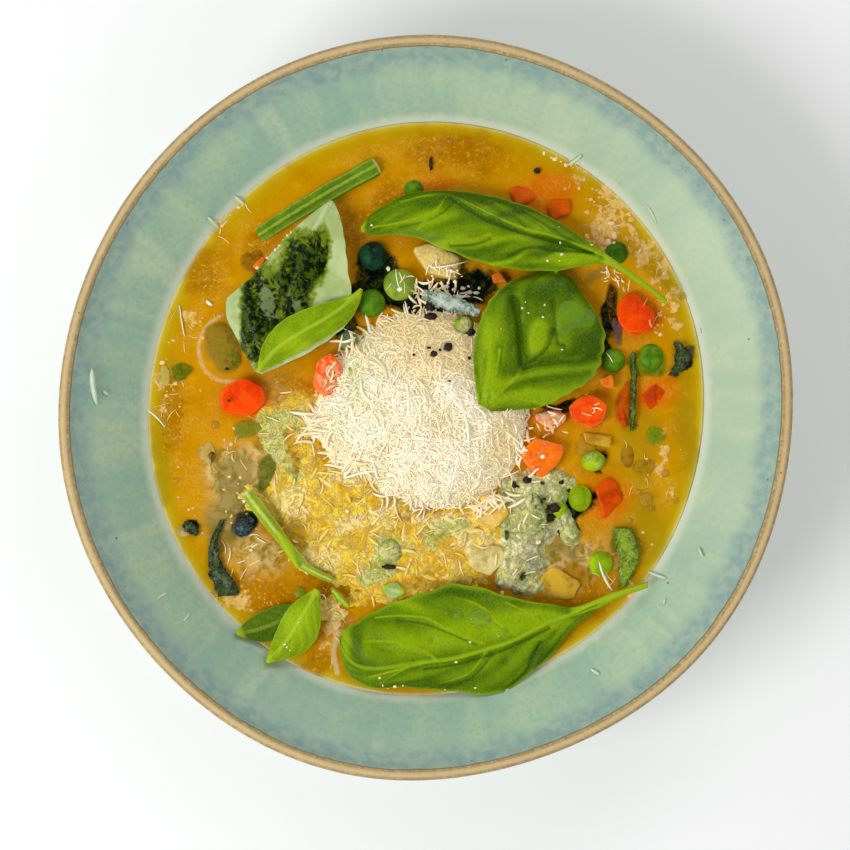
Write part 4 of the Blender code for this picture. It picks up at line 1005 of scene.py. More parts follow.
# folds and ribs drawn on a leaf: height, width, tint from -1 dark to 1 light, photo points
# the tint is painted shade in the folds and painted light on the raised bands, besides the veins' own paler
# colour
leafLines = {
    "basil_leaf_right": [
        (-2.0, 1.5, -1.2, [(513, 300), (517, 316), (519, 334), (521, 352), (522, 364)]),
        (-0.8, 2.6, -0.5, [(514, 310), (518, 336), (521, 366)]),
        (0.45, 0.5, 0.6, [(520, 316), (522, 340), (523, 366)]),
        (1.5, 4.2, 0.15, [(497, 292), (492, 320), (490, 350), (486, 390)]),
        (-1.5, 1.3, -0.9, [(514, 373), (530, 366), (556, 363), (580, 362), (600, 352)]),
        (-0.5, 3.0, -0.6, [(530, 360), (560, 356), (596, 350)]),
        (0.9, 3.2, 0.5, [(500, 388), (520, 376), (548, 371), (578, 368), (596, 366)]),
        (-0.7, 1.0, -0.5, [(500, 392), (530, 382), (560, 378), (590, 374)]),
        (0.5, 2.4, 0.35, [(500, 400), (530, 392), (556, 390), (584, 384)]),
        (-0.7, 0.6, -0.8, [(528, 364), (538, 356), (548, 344), (552, 330)]),
        (0.9, 3.2, 0.7, [(532, 352), (536, 340), (539, 328)]),
        (-0.9, 1.0, -0.6, [(552, 302), (553, 322), (556, 342), (562, 346)]),
        (0.8, 3.0, 0.2, [(530, 296), (548, 286), (570, 290), (590, 306)]),
        (0.3, 0.5, 1.0, [(484, 407), (476, 392), (474, 376)]),
        (0.3, 0.5, 1.0, [(485, 407), (487, 386), (490, 350)]),
        (0.3, 0.5, 0.9, [(486, 407), (494, 384), (499, 350)]),
        (0.35, 0.6, 0.9, [(486, 407), (500, 392), (514, 378), (521, 366)]),
        (0.3, 0.5, 0.8, [(487, 407), (510, 398), (524, 399), (544, 404)]),
        (-0.3, 0.5, -0.5, [(480, 404), (482, 380), (486, 350)]),
        (-0.3, 0.5, -0.5, [(488, 402), (496, 376), (502, 346)])],
    "basil_leaf_top": [
        (-0.9, 0.8, -1.2, [(602, 259), (559, 244), (517, 233), (480, 218), (452, 200)]),
        (
            0.3, 0.45, 1.0,
            [(596, 254), (559, 240), (517, 228), (482, 212), (451, 197), (428, 197), (400, 203)]),
        (0.8, 1.2, 0.9, [(596, 257), (566, 258), (533, 252), (520, 257), (509, 263), (489, 266)]),
        (-0.5, 0.6, -0.8, [(590, 254), (560, 252), (530, 249), (508, 257)]),
        (0.5, 0.6, 0.9, [(490, 236), (473, 242), (446, 243)]),
        (-0.5, 0.6, -0.7, [(490, 240), (473, 246), (450, 247)]),
        (0.35, 0.5, 0.8, [(447, 197), (437, 211), (422, 219), (399, 224), (374, 228)]),
        (-0.5, 0.6, -0.7, [(455, 203), (442, 215), (424, 223), (400, 228)]),
        (0.2, 0.4, 0.6, [(428, 219), (422, 226), (418, 230)]),
        (0.2, 0.35, 0.5, [(520, 228), (506, 214), (490, 200)]),
        (0.2, 0.35, 0.4, [(556, 240), (540, 226), (520, 212)]),
        (-0.3, 1.4, -0.5, [(400, 198), (430, 192), (470, 196), (520, 208)])],
    "basil_leaf_bottom": [
        (
            0.4, 0.5, 1.2,
            [
                (600, 604), (575, 612), (549, 621), (513, 639), (486, 648), (454, 657), (425, 661),
                (371, 675)]),
        (-0.5, 0.7, -0.9, [(549, 626), (513, 644), (486, 654), (454, 663), (425, 667)]),
        (0.3, 0.4, 1.0, [(484, 642), (462, 632), (444, 625), (425, 616), (398, 614), (376, 616)]),
        (-0.4, 0.6, -0.8, [(476, 643), (450, 632), (424, 622), (398, 619)]),
        (0.3, 0.4, 1.0, [(486, 650), (477, 662), (467, 672), (446, 680), (425, 687)]),
        (-0.5, 0.6, -0.8, [(492, 652), (482, 666), (470, 677), (450, 685)]),
        (-0.8, 0.8, -1.2, [(540, 641), (534, 654), (528, 668), (516, 680), (506, 688)]),
        (0.25, 0.35, 0.8, [(520, 637), (500, 622), (480, 604), (452, 594)]),
        (0.25, 0.35, 0.7, [(545, 623), (526, 610), (505, 600)]),
        (0.25, 0.35, 0.8, [(440, 660), (420, 648), (392, 640), (360, 640)]),
        (0.25, 0.35, 0.7, [(410, 664), (396, 672), (380, 682)]),
        (-0.3, 0.5, -0.5, [(516, 634), (498, 624), (478, 610)]),
        (-0.3, 0.5, -0.5, [(430, 656), (412, 652), (380, 648)])],
    "basil_leaf_folded": [
        (0.4, 0.7, 0.0, [(262, 368), (281, 330), (293, 290), (310, 248), (332, 204)]),
        (-0.4, 0.7, 0.0, [(296, 300), (320, 286), (344, 262)]),
        (0.3, 0.5, 0.0, [(300, 330), (330, 300), (358, 292)])],
    "leaf_fold": [(-0.4, 0.7, -0.4, [(268, 366), (300, 346), (330, 322), (352, 304)])],
}
# ellipses on the photo that are lighter, darker or shiny
# light is painted light and dark painted shade, each mixed with the leaves' own tone; shine is a painted
# reflection
leafTones = {
    "light": [
        (430, 222, 34, 9, 8), (505, 240, 50, 8, 14), (592, 252, 26, 12, 28), (556, 262, 30, 6, 4),
        (486, 388, 14, 26, 10), (490, 340, 10, 24, 0), (536, 338, 12, 16, 0), (546, 396, 40, 8, 0),
        (448, 246, 26, 8, 10), (430, 640, 70, 18, 4), (500, 620, 44, 16, -6), (400, 600, 40, 8, -14),
        (545, 616, 30, 9, -10), (300, 350, 34, 14, -40), (300, 620, 16, 26, -30), (350, 640, 14, 20, 0)],
    "dark": [
        (470, 200, 70, 8, 4), (520, 214, 40, 6, 12), (480, 252, 50, 6, 8), (580, 282, 26, 16, 20),
        (596, 320, 8, 24, 0), (540, 290, 26, 12, 20), (582, 342, 15, 12, 0), (420, 684, 60, 10, 4),
        (540, 660, 24, 14, 40), (360, 640, 10, 30, 0), (450, 592, 50, 6, 0), (262, 632, 20, 14, 20),
        (550, 248, 34, 6, 20), (498, 286, 12, 12, 0)],
    "shine": [(564, 322, 10, 16, -10), (574, 312, 14, 10, -20), (586, 318, 10, 8, 20)],
}
wetLeaf = {
    "wet": [
        (303, 258, 22, 28, 10), (262, 300, 18, 40, 14), (252, 334, 10, 30, 0), (292, 300, 18, 26, 10),
        (270, 344, 16, 18, 0), (322, 250, 8, 22, 0)],
    "shine": [(268, 300, 9, 24, 10), (300, 310, 5, 16, 24)],
}
leafColours = {
    "fresh basil": ((50, 84, 0), (92, 124, 0), (146, 174, 4), (146, 174, 24)),
    "bright basil": ((92, 126, 0), (124, 156, 0), (158, 184, 8), (174, 194, 50)),
    "deep basil": ((58, 92, 4), (86, 116, 10), (124, 146, 26), (134, 152, 50)),
    "pale basil": ((112, 138, 62), (152, 176, 96), (188, 204, 134), (198, 212, 156)),
}
# finish of each blade; the others are fresh basil
bladeKinds = {
    "basil_leaf_folded": "wet pale leaf", "leaf_fold": "bright basil", "sprig_leaf_bright": "bright basil",
    "sprig_leaflet": "bright basil", "sprig_leaf_dark": "deep basil", "leaf_scrap": "pale basil",
}


def bladeShape(stations, rows, s):
    # a blade's midrib and its half width, left of it where s is positive and right elsewhere
    stations = np.array(stations, float)
    t = np.linspace(0, 1, rows)
    widths = curveThrough(stations[:, 3:], t)
    return t[:, None], curveThrough(stations[:, :3], t), np.where(s > 0, widths[:, :1], widths[:, 1:])


def bladeSurface(name):
    # p(t, s) = midrib(t) + way * width(t) * s, lifted by s2, with veins, puckers and an edge wave
    leftLift, rightLift, way, count, lean, strength, pucker, wave, rows, columns, midrib = leafForms[name]
    s = np.sin(np.linspace(-1, 1, columns) * math.pi / 2)[None]
    t, centre, width = bladeShape(leafShapes[name], rows, s)
    way = math.radians(way)
    away = np.abs(s)
    frill = 1 + 0.012 * np.sin(70 * t + 3 * s) * (away > 0.7) * (width > 3)
    x = centre[:, :1] + math.cos(way) * width * s * frill
    y = centre[:, 1:2] + math.sin(way) * width * s * frill
    full = np.minimum(width / 8, 1)
    lift = np.where(s > 0, leftLift, rightLift) * full
    q = count * (t - lean * away - 0.12 * away ** 2) + np.where(s > 0, 0.0, 0.45)
    near = np.abs(q - np.round(q))
    rib = np.exp(-(s * width / 0.75) ** 2) * midrib
    side = np.exp(-(near / (0.075 - 0.03 * away)) ** 2) * np.exp(-(away / 0.75) ** 4) * full * strength
    puff = np.sin(math.pi * np.clip(near * 2, 0, 1) / 2) ** 1.2 * (1 - away ** 4) * np.minimum(away * 4, 1)
    height, tint = strokes(x, y, leafLines.get(name, []))
    bumps = pucker * full * (puff - 0.5 + 0.6 * waver(flat(x, y), 5.0, 51)) + height
    edge = wave * np.sin(9 * t + 2.4 * s + 1) * away ** 3 * full
    z = brothLevel + centre[:, 2:3] + lift * s ** 2 + edge
    z = upper(z, resting(x, y) + 0.5, 0.3) + bumps + 0.25 * side + 0.3 * rib * full
    thin = np.minimum(width, 1.1)
    half = 0.24 + (thin * np.sqrt(np.maximum(1 - s ** 2, 0)) - 0.1) * np.exp(-(width / 2.2) ** 4)
    half = np.maximum(half, 0.08)
    # light and dark carry painted light and painted shade, mixed with the leaf's own lighter and darker
    # tone
    marks = {
        "vein": np.maximum(side * 0.8, rib), "edge": away ** 6 * np.minimum(width / 3, 1),
        "puff": puff * full, "stalk": np.exp(-(width / 2.4) ** 4),
        "light": np.clip(0.8 * patches(x, y, leafTones["light"], 2.0, 52) + np.maximum(tint, 0), 0, 1),
        "dark": np.clip(0.9 * patches(x, y, leafTones["dark"], 2.0, 53) + np.maximum(-tint, 0), 0, 1),
        "shine": patches(x, y, leafTones["shine"], 1.0, 55),
    }
    return flat(x, y, z + half), flat(x, y, z - half), marks


def leafMaterial(name, deep, blade, bright, vein):
    paint = Paint(name, IOR=1.45, Specular_IOR_Level=0.10)
    soft = paint.noise(6, 1.0, 3.0)
    fine = paint.noise(0.9, 2.0, 4.0, 0.65)
    net = paint.cells(1.1, 1.0, feature="DISTANCE_TO_EDGE")
    shine = (paint.mark("shine") + (soft - 0.5) * 0.5).rise(0.42, 0.60)
    # painted light on the puffed bulges between the veins, painted light and shade from the light and dark
    # marks, and a painted reflection where the leaf shines
    base = paint.coats(
        paint.mix(soft.rise(0.36, 0.64) * 0.5, blade, deep),
        (paint.mark("puff").rise(0.0, 0.9) * 0.30, bright),
        (paint.mark("light").rise(0.15, 0.9) * 0.85, bright),
        (paint.mark("dark").rise(0.15, 0.9) * 0.85, deep),
        (fine.rise(0.42, 0.66) * 0.25, deep),
        (shine * 0.45, paint.mix(soft.rise(0.4, 0.6), (112, 140, 84), (112, 158, 30))),
        ((1 - net.rise(0.02, 0.10)) * 0.14, vein), (paint.mark("vein").rise(0.25, 0.9) * 0.65, vein),
        (paint.mark("edge").rise(0.55, 1.0) * 0.5, vein),
        (paint.mark("stalk").rise(0.3, 0.9) * 0.8, (164, 186, 24)))
    relief = paint.bump(net.rise(0.0, 0.25) * 0.5 + fine * 0.5, 0.10)
    return paint.done(base, Roughness=0.34 + fine * 0.12, Normal=relief)


def paleLeafMaterial():
    paint = Paint("wet pale leaf", IOR=1.45, Specular_IOR_Level=0.3)
    soft = paint.noise(7, 1.0, 3.0)
    fine = paint.noise(2.0, 2.0, 4.0, 0.66)
    wet = paint.mark("wet") + (fine - 0.5) * 0.9 + (soft - 0.5) * 0.4
    darkPatch = paint.mix(fine.rise(0.46, 0.58), (10, 22, 4), (58, 78, 4))
    darkPatch = paint.mix(paint.noise(4.5, 3.0, 4.0, 0.66, 0.8).rise(0.50, 0.62) * 0.8, darkPatch, (116, 132, 30))
    shine = (paint.mark("wetShine") + (fine - 0.5) * 2.2).rise(0.45, 0.75)
    base = paint.coats(
        paint.mix(soft.rise(0.35, 0.65), (162, 180, 110), (186, 200, 140)),
        (paint.mark("vein").rise(0.3, 0.9) * 0.4, (200, 214, 168)), (wet.rise(0.22, 0.42), (120, 140, 30)),
        (wet.rise(0.40, 0.62), darkPatch), (shine * 0.65, (122, 140, 94)))
    relief = paint.bump(fine * 0.7 + soft * 0.3, 0.25)
    return paint.done(base, Roughness=0.45 - wet.rise(0.3, 0.6) * 0.25, Normal=relief)


def makeLeaf(name):
    # the folded edge of the pale leaf has no node of its own
    fold = name == "leaf_fold"
    top, bottom, marks = bladeSurface(name)
    marks["wet"] = patches(top[..., 0], top[..., 1], wetLeaf["wet"], 2.0, 54)
    marks["wetShine"] = patches(top[..., 0], top[..., 1], wetLeaf["shine"], 1.0, 55)
    finish = leafFinishes[bladeKinds.get(name, "fresh basil")]
    piece, nodes = (name, []) if fold else (name + "_blade", [name])
    makeSheetPiece(piece, top, bottom, finish, nodes, marks)


leafFinishes = finishesOf(leafMaterial, leafColours)
leafFinishes["wet pale leaf"] = paleLeafMaterial()
for leafName in leafShapes:
    makeLeaf(leafName)
print("leaves laid")

# carrots, potatoes and the lump of greens: turn, cut sides, colour, veil of cheese
chunks = {
    "carrot_1": (8, 6, "carrot", 0.0), "carrot_2": (-5, 6, "red carrot", 0.6),
    "carrot_3": (4, 7, "carrot", 0.2), "carrot_4": (-6, 7, "red carrot", 0.2),
    "carrot_5": (12, 4, "pale carrot", 0.1), "carrot_6": (-4, 6, "red carrot", 0.8),
    "carrot_7": (7, 5, "cheesy carrot", 0.42), "carrot_8": (3, 5, "deep carrot", 0.1),
    "carrot_9": (-7, 5, "deep carrot", 0.2), "carrot_10": (2, 4, "deep carrot", 0.0),
    "carrot_11": (-10, 5, "sunk carrot", 0.0), "carrot_12": (8, 5, "sunk carrot", 0.1),
    "carrot_13": (20, 4, "pale carrot", 0.0), "carrot_14": (-25, 4, "pale carrot", 0.2),
    "potato_1": (-24, 5, "potato", 0.45), "potato_2": (-6, 4, "ochre potato", 0.2),
    "potato_3": (10, 6, "cheesy potato", 0.5), "potato_4": (-12, 5, "ochre potato", 0.35),
    "potato_5": (18, 5, "yellow potato", 0.6), "cooked_greens": (-4, 6, "green mass", 0.6),
}
chunkColours = {
    "carrot": ((220, 50, 0), (250, 76, 0), (255, 124, 30)),
    "red carrot": ((224, 56, 0), (252, 92, 4), (255, 156, 70)),
    "cheesy carrot": ((238, 84, 0), (255, 120, 6), (255, 172, 66)),
    "deep carrot": ((176, 50, 0), (216, 78, 0), (238, 112, 16)),
    "sunk carrot": ((190, 76, 0), (226, 92, 0), (240, 124, 20)),
    "pale carrot": ((206, 92, 14), (236, 126, 26), (246, 166, 76)),
    "potato": ((204, 172, 74), (228, 202, 112), (246, 230, 160)),
    "cheesy potato": ((176, 158, 60), (222, 206, 126), (244, 232, 178)),
    "ochre potato": ((168, 124, 14), (208, 166, 44), (230, 196, 92)),
    "yellow potato": ((224, 170, 14), (244, 200, 56), (250, 222, 118)),
    "green mass": ((30, 66, 14), (86, 122, 30), (180, 196, 120)),
}


def chunkMaterial(name, shade, body, light):
    paint = Paint(name, IOR=1.42, Specular_IOR_Level=0.10)
    soft = paint.noise(5.0, 1.0, 3.0)
    fine = paint.noise(0.9, 2.0, 4.0, 0.7)
    cracks = 1 - paint.cells(5.0, 5.0, feature="DISTANCE_TO_EDGE").rise(0.01, 0.07)
    veil = (paint.mark("veil") + (paint.noise(3.0, 3.0, 4.0, 0.66, 1.4) - 0.5) * 1.5).rise(0.42, 0.85)
    cream = paint.mix(fine.rise(0.36, 0.62) * 0.7 + 0.2, light, (255, 222, 176))
    threads = paint.ridges(3.6, 6.0, 1.6) * paint.mark("veil").rise(0.15, 0.6) * soft.rise(0.45, 0.6)
    # the edges get a painted highlight, the underside and the cracks painted shade
    base = paint.coats(
        paint.mix(soft.rise(0.40, 0.62) * 0.75, body, shade),
        (paint.mark("rim").rise(0.84, 0.99) * 0.4, light), (fine.rise(0.54, 0.70) * 0.22, light),
        ((1 - paint.mark("crown").rise(-0.3, 0.35)) * 0.75, shade),
        (cracks * soft.rise(0.45, 0.6) * 0.6, shade), (veil * 0.8, cream), (threads * 0.5, (254, 232, 190)))
    relief = paint.bump(fine * 0.5 + veil * 0.6 + threads * 0.4 - cracks * soft * 0.4, 0.25)
    return paint.done(base, Roughness=0.24 + fine * 0.2, Normal=relief)


def nodeBox(name):
    # a node's low and high corner in millimetres
    return [np.array(corner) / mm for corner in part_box(name)]


def seedOf(name):
    return sum(map(ord, name))


def makeChunk(name, turn, sides, colour, veil):
    # a rounded polyhedron: reach(d) = (sum over the cuts of (max(n . d, 0) / h)^9)^(-1/9), where
    # n is a cut's direction and h its distance. Its width and depth solve box x = w |cos| + d |sin|
    # and box y = w |sin| + d |cos|
    low, high = nodeBox(name)
    c, s = abs(math.cos(math.radians(turn))), abs(math.sin(math.radians(turn)))
    span = high - low
    wide = (span[0] * c - span[1] * s) / (c * c - s * s)
    deep = (span[1] * c - span[0] * s) / (c * c - s * s)
    rows, columns = 44, 72
    way = ballGrid(rows, columns)
    seed = seedOf(name)
    rng = np.random.default_rng(seed)
    turns = 2 * math.pi * (np.arange(sides) + rng.uniform(-0.32, 0.32, sides)) / sides
    cuts = np.stack([np.cos(turns), np.sin(turns), rng.uniform(-0.25, 0.1, sides)], -1)
    cuts = np.concatenate([cuts, [[*rng.uniform(-0.2, 0.2, 2), 1], [0, 0, -1]]])
    cuts /= np.linalg.norm(cuts, axis=1)[:, None]
    facing = np.maximum(way @ cuts.T, 0) / np.append(rng.uniform(0.78, 1.12, sides), [0.86, 0.86])
    shape = way / (np.sum(facing ** 9, axis=1) ** (1 / 9))[:, None]
    ranked = np.sort(facing, axis=1)
    shape *= (1 + 0.11 * waver(way * 6 + seed, 6.0, seed) + 0.03 * waver(way * 6, 1.6, seed + 1))[:, None]
    middle = (shape.min(axis=0) + shape.max(axis=0)) / 2
    shape = (shape - middle) / (shape.max(axis=0) - middle) * np.array([wide, deep, span[2]]) / 2
    x, y = turned(shape[:, 0], shape[:, 1], turn)
    points = flat(x, y, shape[:, 2]) + (low + high) / 2
    rise = way[:, 2]
    # crown gives the underside painted shade and rim gives the edges a painted highlight
    marks = {"crown": rise, "veil": veil * np.clip(rise + 0.2, 0, 1), "rim": ranked[:, -2] / ranked[:, -1]}
    makePiece(name + "_cut", points, roundFaces(rows, columns), chunkFinishes[colour], [name], marks)


chunkFinishes = finishesOf(chunkMaterial, chunkColours)
for chunkName, chunkForm in chunks.items():
    makeChunk(chunkName, *chunkForm)
print("vegetables cut")

# peas and the bean: colour, wrinkle depth, veil of cheese
peas = {
    "pea_1": ("yellow pea", 0.05, 0.35), "pea_2": ("pea", 0.04, 0.1), "pea_3": ("dark pea", 0.05, 0.0),
    "pea_4": ("pea", 0.03, 0.1), "pea_5": ("pea", 0.12, 0.1), "pea_6": ("lime pea", 0.06, 0.5),
    "pea_7": ("lime pea", 0.05, 0.1), "pea_8": ("lime pea", 0.03, 0.1), "pea_9": ("lime pea", 0.03, 0.1),
    "pea_10": ("pea", 0.03, 0.1), "pea_11": ("deep pea", 0.03, 0.0), "pea_12": ("grey pea", 0.04, 0.3),
    "pea_13": ("yellow pea", 0.04, 0.6), "pea_14": ("yellow pea", 0.06, 0.7),
    "pea_15": ("yellow pea", 0.05, 0.8), "white_bean": ("bean", 0.04, 0.0),
}
peaColours = {
    "pea": ((62, 106, 10), (104, 150, 22), (160, 192, 60)),
    "yellow pea": ((96, 130, 20), (142, 172, 48), (196, 208, 110)),
    "lime pea": ((118, 150, 0), (164, 196, 12), (208, 224, 74)),
    "deep pea": ((46, 84, 6), (74, 118, 14), (110, 150, 40)),
    "dark pea": ((4, 18, 14), (20, 66, 42), (84, 132, 76)),
    "grey pea": ((60, 84, 40), (110, 136, 84), (160, 178, 130)),
    "bean": ((120, 82, 4), (166, 122, 12), (190, 150, 40)),
}


def makePea(name, colour, wrinkle, veil):
    # an ellipsoid in the node's box, dented by noise, with a shallow dimple on one side
    low, high = nodeBox(name)
    rows, columns = 30, 44
    way = ballGrid(rows, columns)
    seed = seedOf(name)
    eye = np.array([math.cos(seed), math.sin(seed), 0.5]) * 0.9
    dimple = np.exp(-np.sum((way - eye) ** 2, axis=1) / 0.06)
    reach = 1 + wrinkle * waver(way * 5 + seed, 4.0, seed)
    reach = reach + 0.012 * waver(way * 5, 1.2, seed) - 0.08 * dimple
    points = (low + high) / 2 + way * reach[:, None] * (high - low) / 2
    # crown gives the pea's underside painted shade
    marks = {"crown": way[:, 2], "veil": veil * np.clip(way[:, 2] + 0.1, 0, 1), "rim": np.zeros(len(way))}
    makePiece(name + "_skin", points, roundFaces(rows, columns), peaFinishes[colour], [name], marks)


peaFinishes = finishesOf(chunkMaterial, peaColours)
for peaName, peaForm in peas.items():
    makePea(peaName, *peaForm)
print("peas and bean added")

# cooked greens: finish, then stations as for the leaves
greenShapes = {
    "dark_leaf_strip": (
        "dark greens",
        [
            (-62.0, -34.2, 1.0, 0.9, 0.9), (-64.6, -41.0, 1.5, 1.3, 1.3), (-64.2, -47.6, 1.4, 2.3, 2.3),
            (-61.8, -52.6, 1.2, 3.6, 3.6), (-60.6, -57.4, 1.0, 3.6, 3.6)]),
    "dark_leaf_knot": (
        "blue greens",
        [(-53.0, -33.4, 1.2, 1.4, 1.4), (-55.4, -36.2, 1.8, 3.0, 3.2), (-57.2, -39.0, 1.2, 1.0, 1.0)]),
    "dark_leaf_crescent": (
        "dark greens",
        [
            (74.8, 9.8, 1.0, 1.0, 1.0), (77.8, 12.6, 1.6, 2.2, 2.2), (78.2, 16.6, 1.6, 2.4, 2.4),
            (76.6, 20.2, 1.0, 1.2, 1.2)]),
    "dark_leaf_thread": (
        "olive greens",
        [(63.2, 17.0, 1.0, 0.8, 0.8), (63.4, 5.0, 1.6, 1.0, 1.0), (62.9, -7.0, 1.0, 0.7, 0.7)]),
    "green_leaf_edge": (
        "lime greens",
        [
            (59.4, -36.8, 1.4, 3.2, 2.8), (61.4, -43.0, 2.2, 3.6, 3.0), (61.2, -48.8, 1.6, 2.8, 2.4),
            (60.0, -54.6, 1.2, 1.4, 1.4)]),
    "dark_leaf_scrap": (
        "dark greens",
        [(-74.0, -35.2, 0.9, 1.0, 1.0), (-71.6, -36.8, 1.3, 1.9, 1.9), (-69.6, -38.6, 0.9, 0.8, 0.8)]),
    "cheesy_leaf_strip": (
        "cheesy greens",
        [
            (-0.6, 34.6, 4.4, 1.4, 1.6), (5.6, 32.4, 5.6, 2.4, 2.6), (12.4, 30.6, 5.4, 1.6, 2.8),
            (16.4, 29.0, 4.8, 1.2, 1.4)]),
}
greenColours = {
    "dark greens": ((6, 16, 8), (40, 62, 22), (104, 124, 52)),
    "blue greens": ((2, 8, 12), (16, 44, 50), (84, 116, 108)),
    "lime greens": ((78, 108, 4), (132, 160, 22), (188, 204, 84)),
    "olive greens": ((26, 40, 4), (66, 92, 8), (130, 158, 40)),
    "cheesy greens": ((70, 100, 84), (178, 190, 172), (232, 232, 216)),
}


def greensMaterial(name, shade, body, light):
    paint = Paint(name, IOR=1.4, Specular_IOR_Level=0.4)
    fine = paint.noise(1.2, 2.0, 5.0, 0.72, 0.6)
    folds = paint.noise(3.0, 3.0, 3.0, 0.6)
    side = paint.mark("side")
    # the light shade on the speckles and winding lines is partly a painted highlight, bluish on the blue
    # greens
    base = paint.coats(
        paint.mix((folds + (0.5 - side) * 0.3).rise(0.42, 0.66), shade, body),
        (fine.rise(0.54, 0.70) * 0.55, light), (paint.ridges(2.0, 4.0, 1.6) * 0.5, light))
    solid = 1 - (side + (fine - 0.5) * 1.6).rise(0.78, 1.02)
    relief = paint.bump(fine * 0.6 + folds * 0.4, 0.35)
    return paint.done(base, Roughness=0.2 + fine * 0.2, Normal=relief, Alpha=solid)


def makeGreens(name, finish, stations):
    # a blade on the stations, its height 0.45 sin(17 t + 2 s) |s| and crumpled by noise
    rows, columns = 70, 30
    s = np.linspace(-1, 1, columns)[None]
    t, centre, width = bladeShape(stations, rows, s)
    run = np.array(stations[-1][:2]) - stations[0][:2]
    left = np.array([-run[1], run[0]]) / np.hypot(*run)
    ragged = width * s * (1 + 0.34 * waver(flat(t * 26, np.sign(s) * 5), 2.2, seedOf(name)))
    x, y = centre[:, :1] + left[0] * ragged, centre[:, 1:2] + left[1] * ragged
    z = brothLevel + centre[:, 2:3] + 0.45 * np.sin(17 * t + 2 * s) * np.abs(s)
    z = np.maximum(z + 0.5 * waver(flat(x, y), 2.0, 61), resting(x, y) + 0.2)
    half = 0.32 * (1 - 0.7 * s ** 8)
    marks = {"side": np.abs(s) + 0 * t}
    top, bottom = flat(x, y, z + half), flat(x, y, z - half)
    makeSheetPiece(name + "_leaf", top, bottom, greenFinishes[finish], [name], marks)


greenFinishes = finishesOf(greensMaterial, greenColours)
for greenName, greenForm in greenShapes.items():
    makeGreens(greenName, *greenForm)
print("greens folded in")

# stalk and sprig: x, y, height above the broth and radius
stalks = {
    "green_stalk": [
        (-14.6, 74.2, 0.2, 2.9), (-26.5, 67.6, 0.0, 2.9), (-39.0, 60.2, -0.6, 2.9),
        (-51.3, 52.6, -1.8, 2.7)],
    "sprig_stem": [
        (-54.7, -25.2, 3.6, 1.6), (-50.5, -31.0, 3.4, 1.8), (-46.5, -36.1, 3.0, 1.7),
        (-42.2, -41.9, 2.8, 1.5), (-38.0, -47.1, 2.8, 1.6), (-34.9, -49.4, 2.6, 1.1),
        (-28.2, -52.6, 2.0, 0.9)],
    "sprig_bud": [(-28.4, -55.4, 2.2, 0.7), (-25.8, -58.2, 2.6, 1.1), (-23.4, -60.6, 2.2, 0.6)],
}
# shade, body and light colours, ribs and their depth
stalkColours = {
    "green_stalk": ((66, 98, 4), (104, 138, 16), (160, 184, 60), 7, 0.1),
    "sprig_stem": ((120, 150, 20), (164, 186, 40), (208, 220, 110), 4, 0.08),
    "sprig_bud": ((110, 150, 10), (150, 184, 24), (190, 210, 80), 3, 0.05),
}


def stalkMaterial(name, shade, body, light):
    paint = Paint(name + " skin", IOR=1.42, Specular_IOR_Level=0.25)
    fine = paint.noise(1.0, 2.0, 4.0, 0.7)
    # the ribs' crests, one of them along the top, are lightened: a painted highlight together with the
    # ribs' paler colour
    base = paint.coats(
        paint.mix(paint.noise(6, 1.0).rise(0.35, 0.65) * 0.6, body, shade),
        ((paint.mark("rib") + (fine - 0.5) * 1.8).rise(0.5, 0.95) * 0.6, light),
        (paint.mark("cut").rise(0.1, 0.6) * 0.8, (214, 222, 150)))
    return paint.done(base, Roughness=0.28 + fine * 0.15, Normal=paint.bump(fine, 0.12))


def makeStalk(name, stations):
    # a tube whose section is 1 + depth cos(ribs a), rounded in at both ends
    *shades, ribs, depth = stalkColours[name]
    stations = np.array(stations, float)
    rows, sides, endRows = 90, 48, 4
    t = np.linspace(0, 1, rows)
    path = curveThrough(stations[:, :3], t) + (0, 0, brothLevel)
    radius = curveThrough(stations[:, 3], t) * (1 + 0.07 * waver(path, 3.0, 71))
    ending = np.minimum(t, 1 - t) * rows / endRows
    radius *= np.sqrt(np.clip(1 - (1 - np.minimum(ending, 1)) ** 2 * 0.85, 0.1, 1))
    wave = np.cos(ribs * (around(sides) - math.pi / 2))
    points, faces = tube(path, radius, 1 + depth * wave)
    # rib is highest on the ribs' crests, one of them along the top, where the painted highlight goes
    marks = {"rib": np.append(np.tile(0.5 + 0.5 * wave, rows), [0, 0]),
             "cut": np.append(np.repeat(np.clip(1 - t * rows / endRows, 0, 1), sides), [1, 0])}
    makePiece(name + "_skin", points, faces, stalkMaterial(name, *shades), [name], marks)


for stalkName, stalkStations in stalks.items():
    makeStalk(stalkName, stalkStations)
print("stalks laid")

# what carries the loose things
carriers = [(nodeBox(name), 4) for name in chunks] + [(nodeBox(name), 2) for name in peas]
bladeTops = {name: bladeSurface(name)[0].reshape(-1, 3) for name in leafShapes}


def foodTop(x, y):
    # the highest of broth, cheese and the vegetables' tops, z = middle + half sqrt(1 - r)
    level = np.maximum.reduce([heapTop(x, y), *(sheetTop(form, x, y) for form in sheets.values())])
    level = np.maximum(level, brothLevel)
    for (low, high), power in carriers:
        middle, half = (low + high) / 2, (high - low) / 2
        r = np.abs((x - middle[0]) / half[0]) ** power + np.abs((y - middle[1]) / half[1]) ** power
        level = np.maximum(level, np.where(r < 1, middle[2] + half[2] * np.sqrt(np.maximum(1 - r, 0)), 0))
    return np.maximum(level, wallHeight(x, y))


def leafTop(name, x, y):
    # height of the nearest point of a leaf
    top = bladeTops[name]
    away = (np.ravel(x)[:, None] - top[None, :, 0]) ** 2 + (np.ravel(y)[:, None] - top[None, :, 1]) ** 2
    return top[np.argmin(away, axis=1), 2].reshape(np.shape(x))


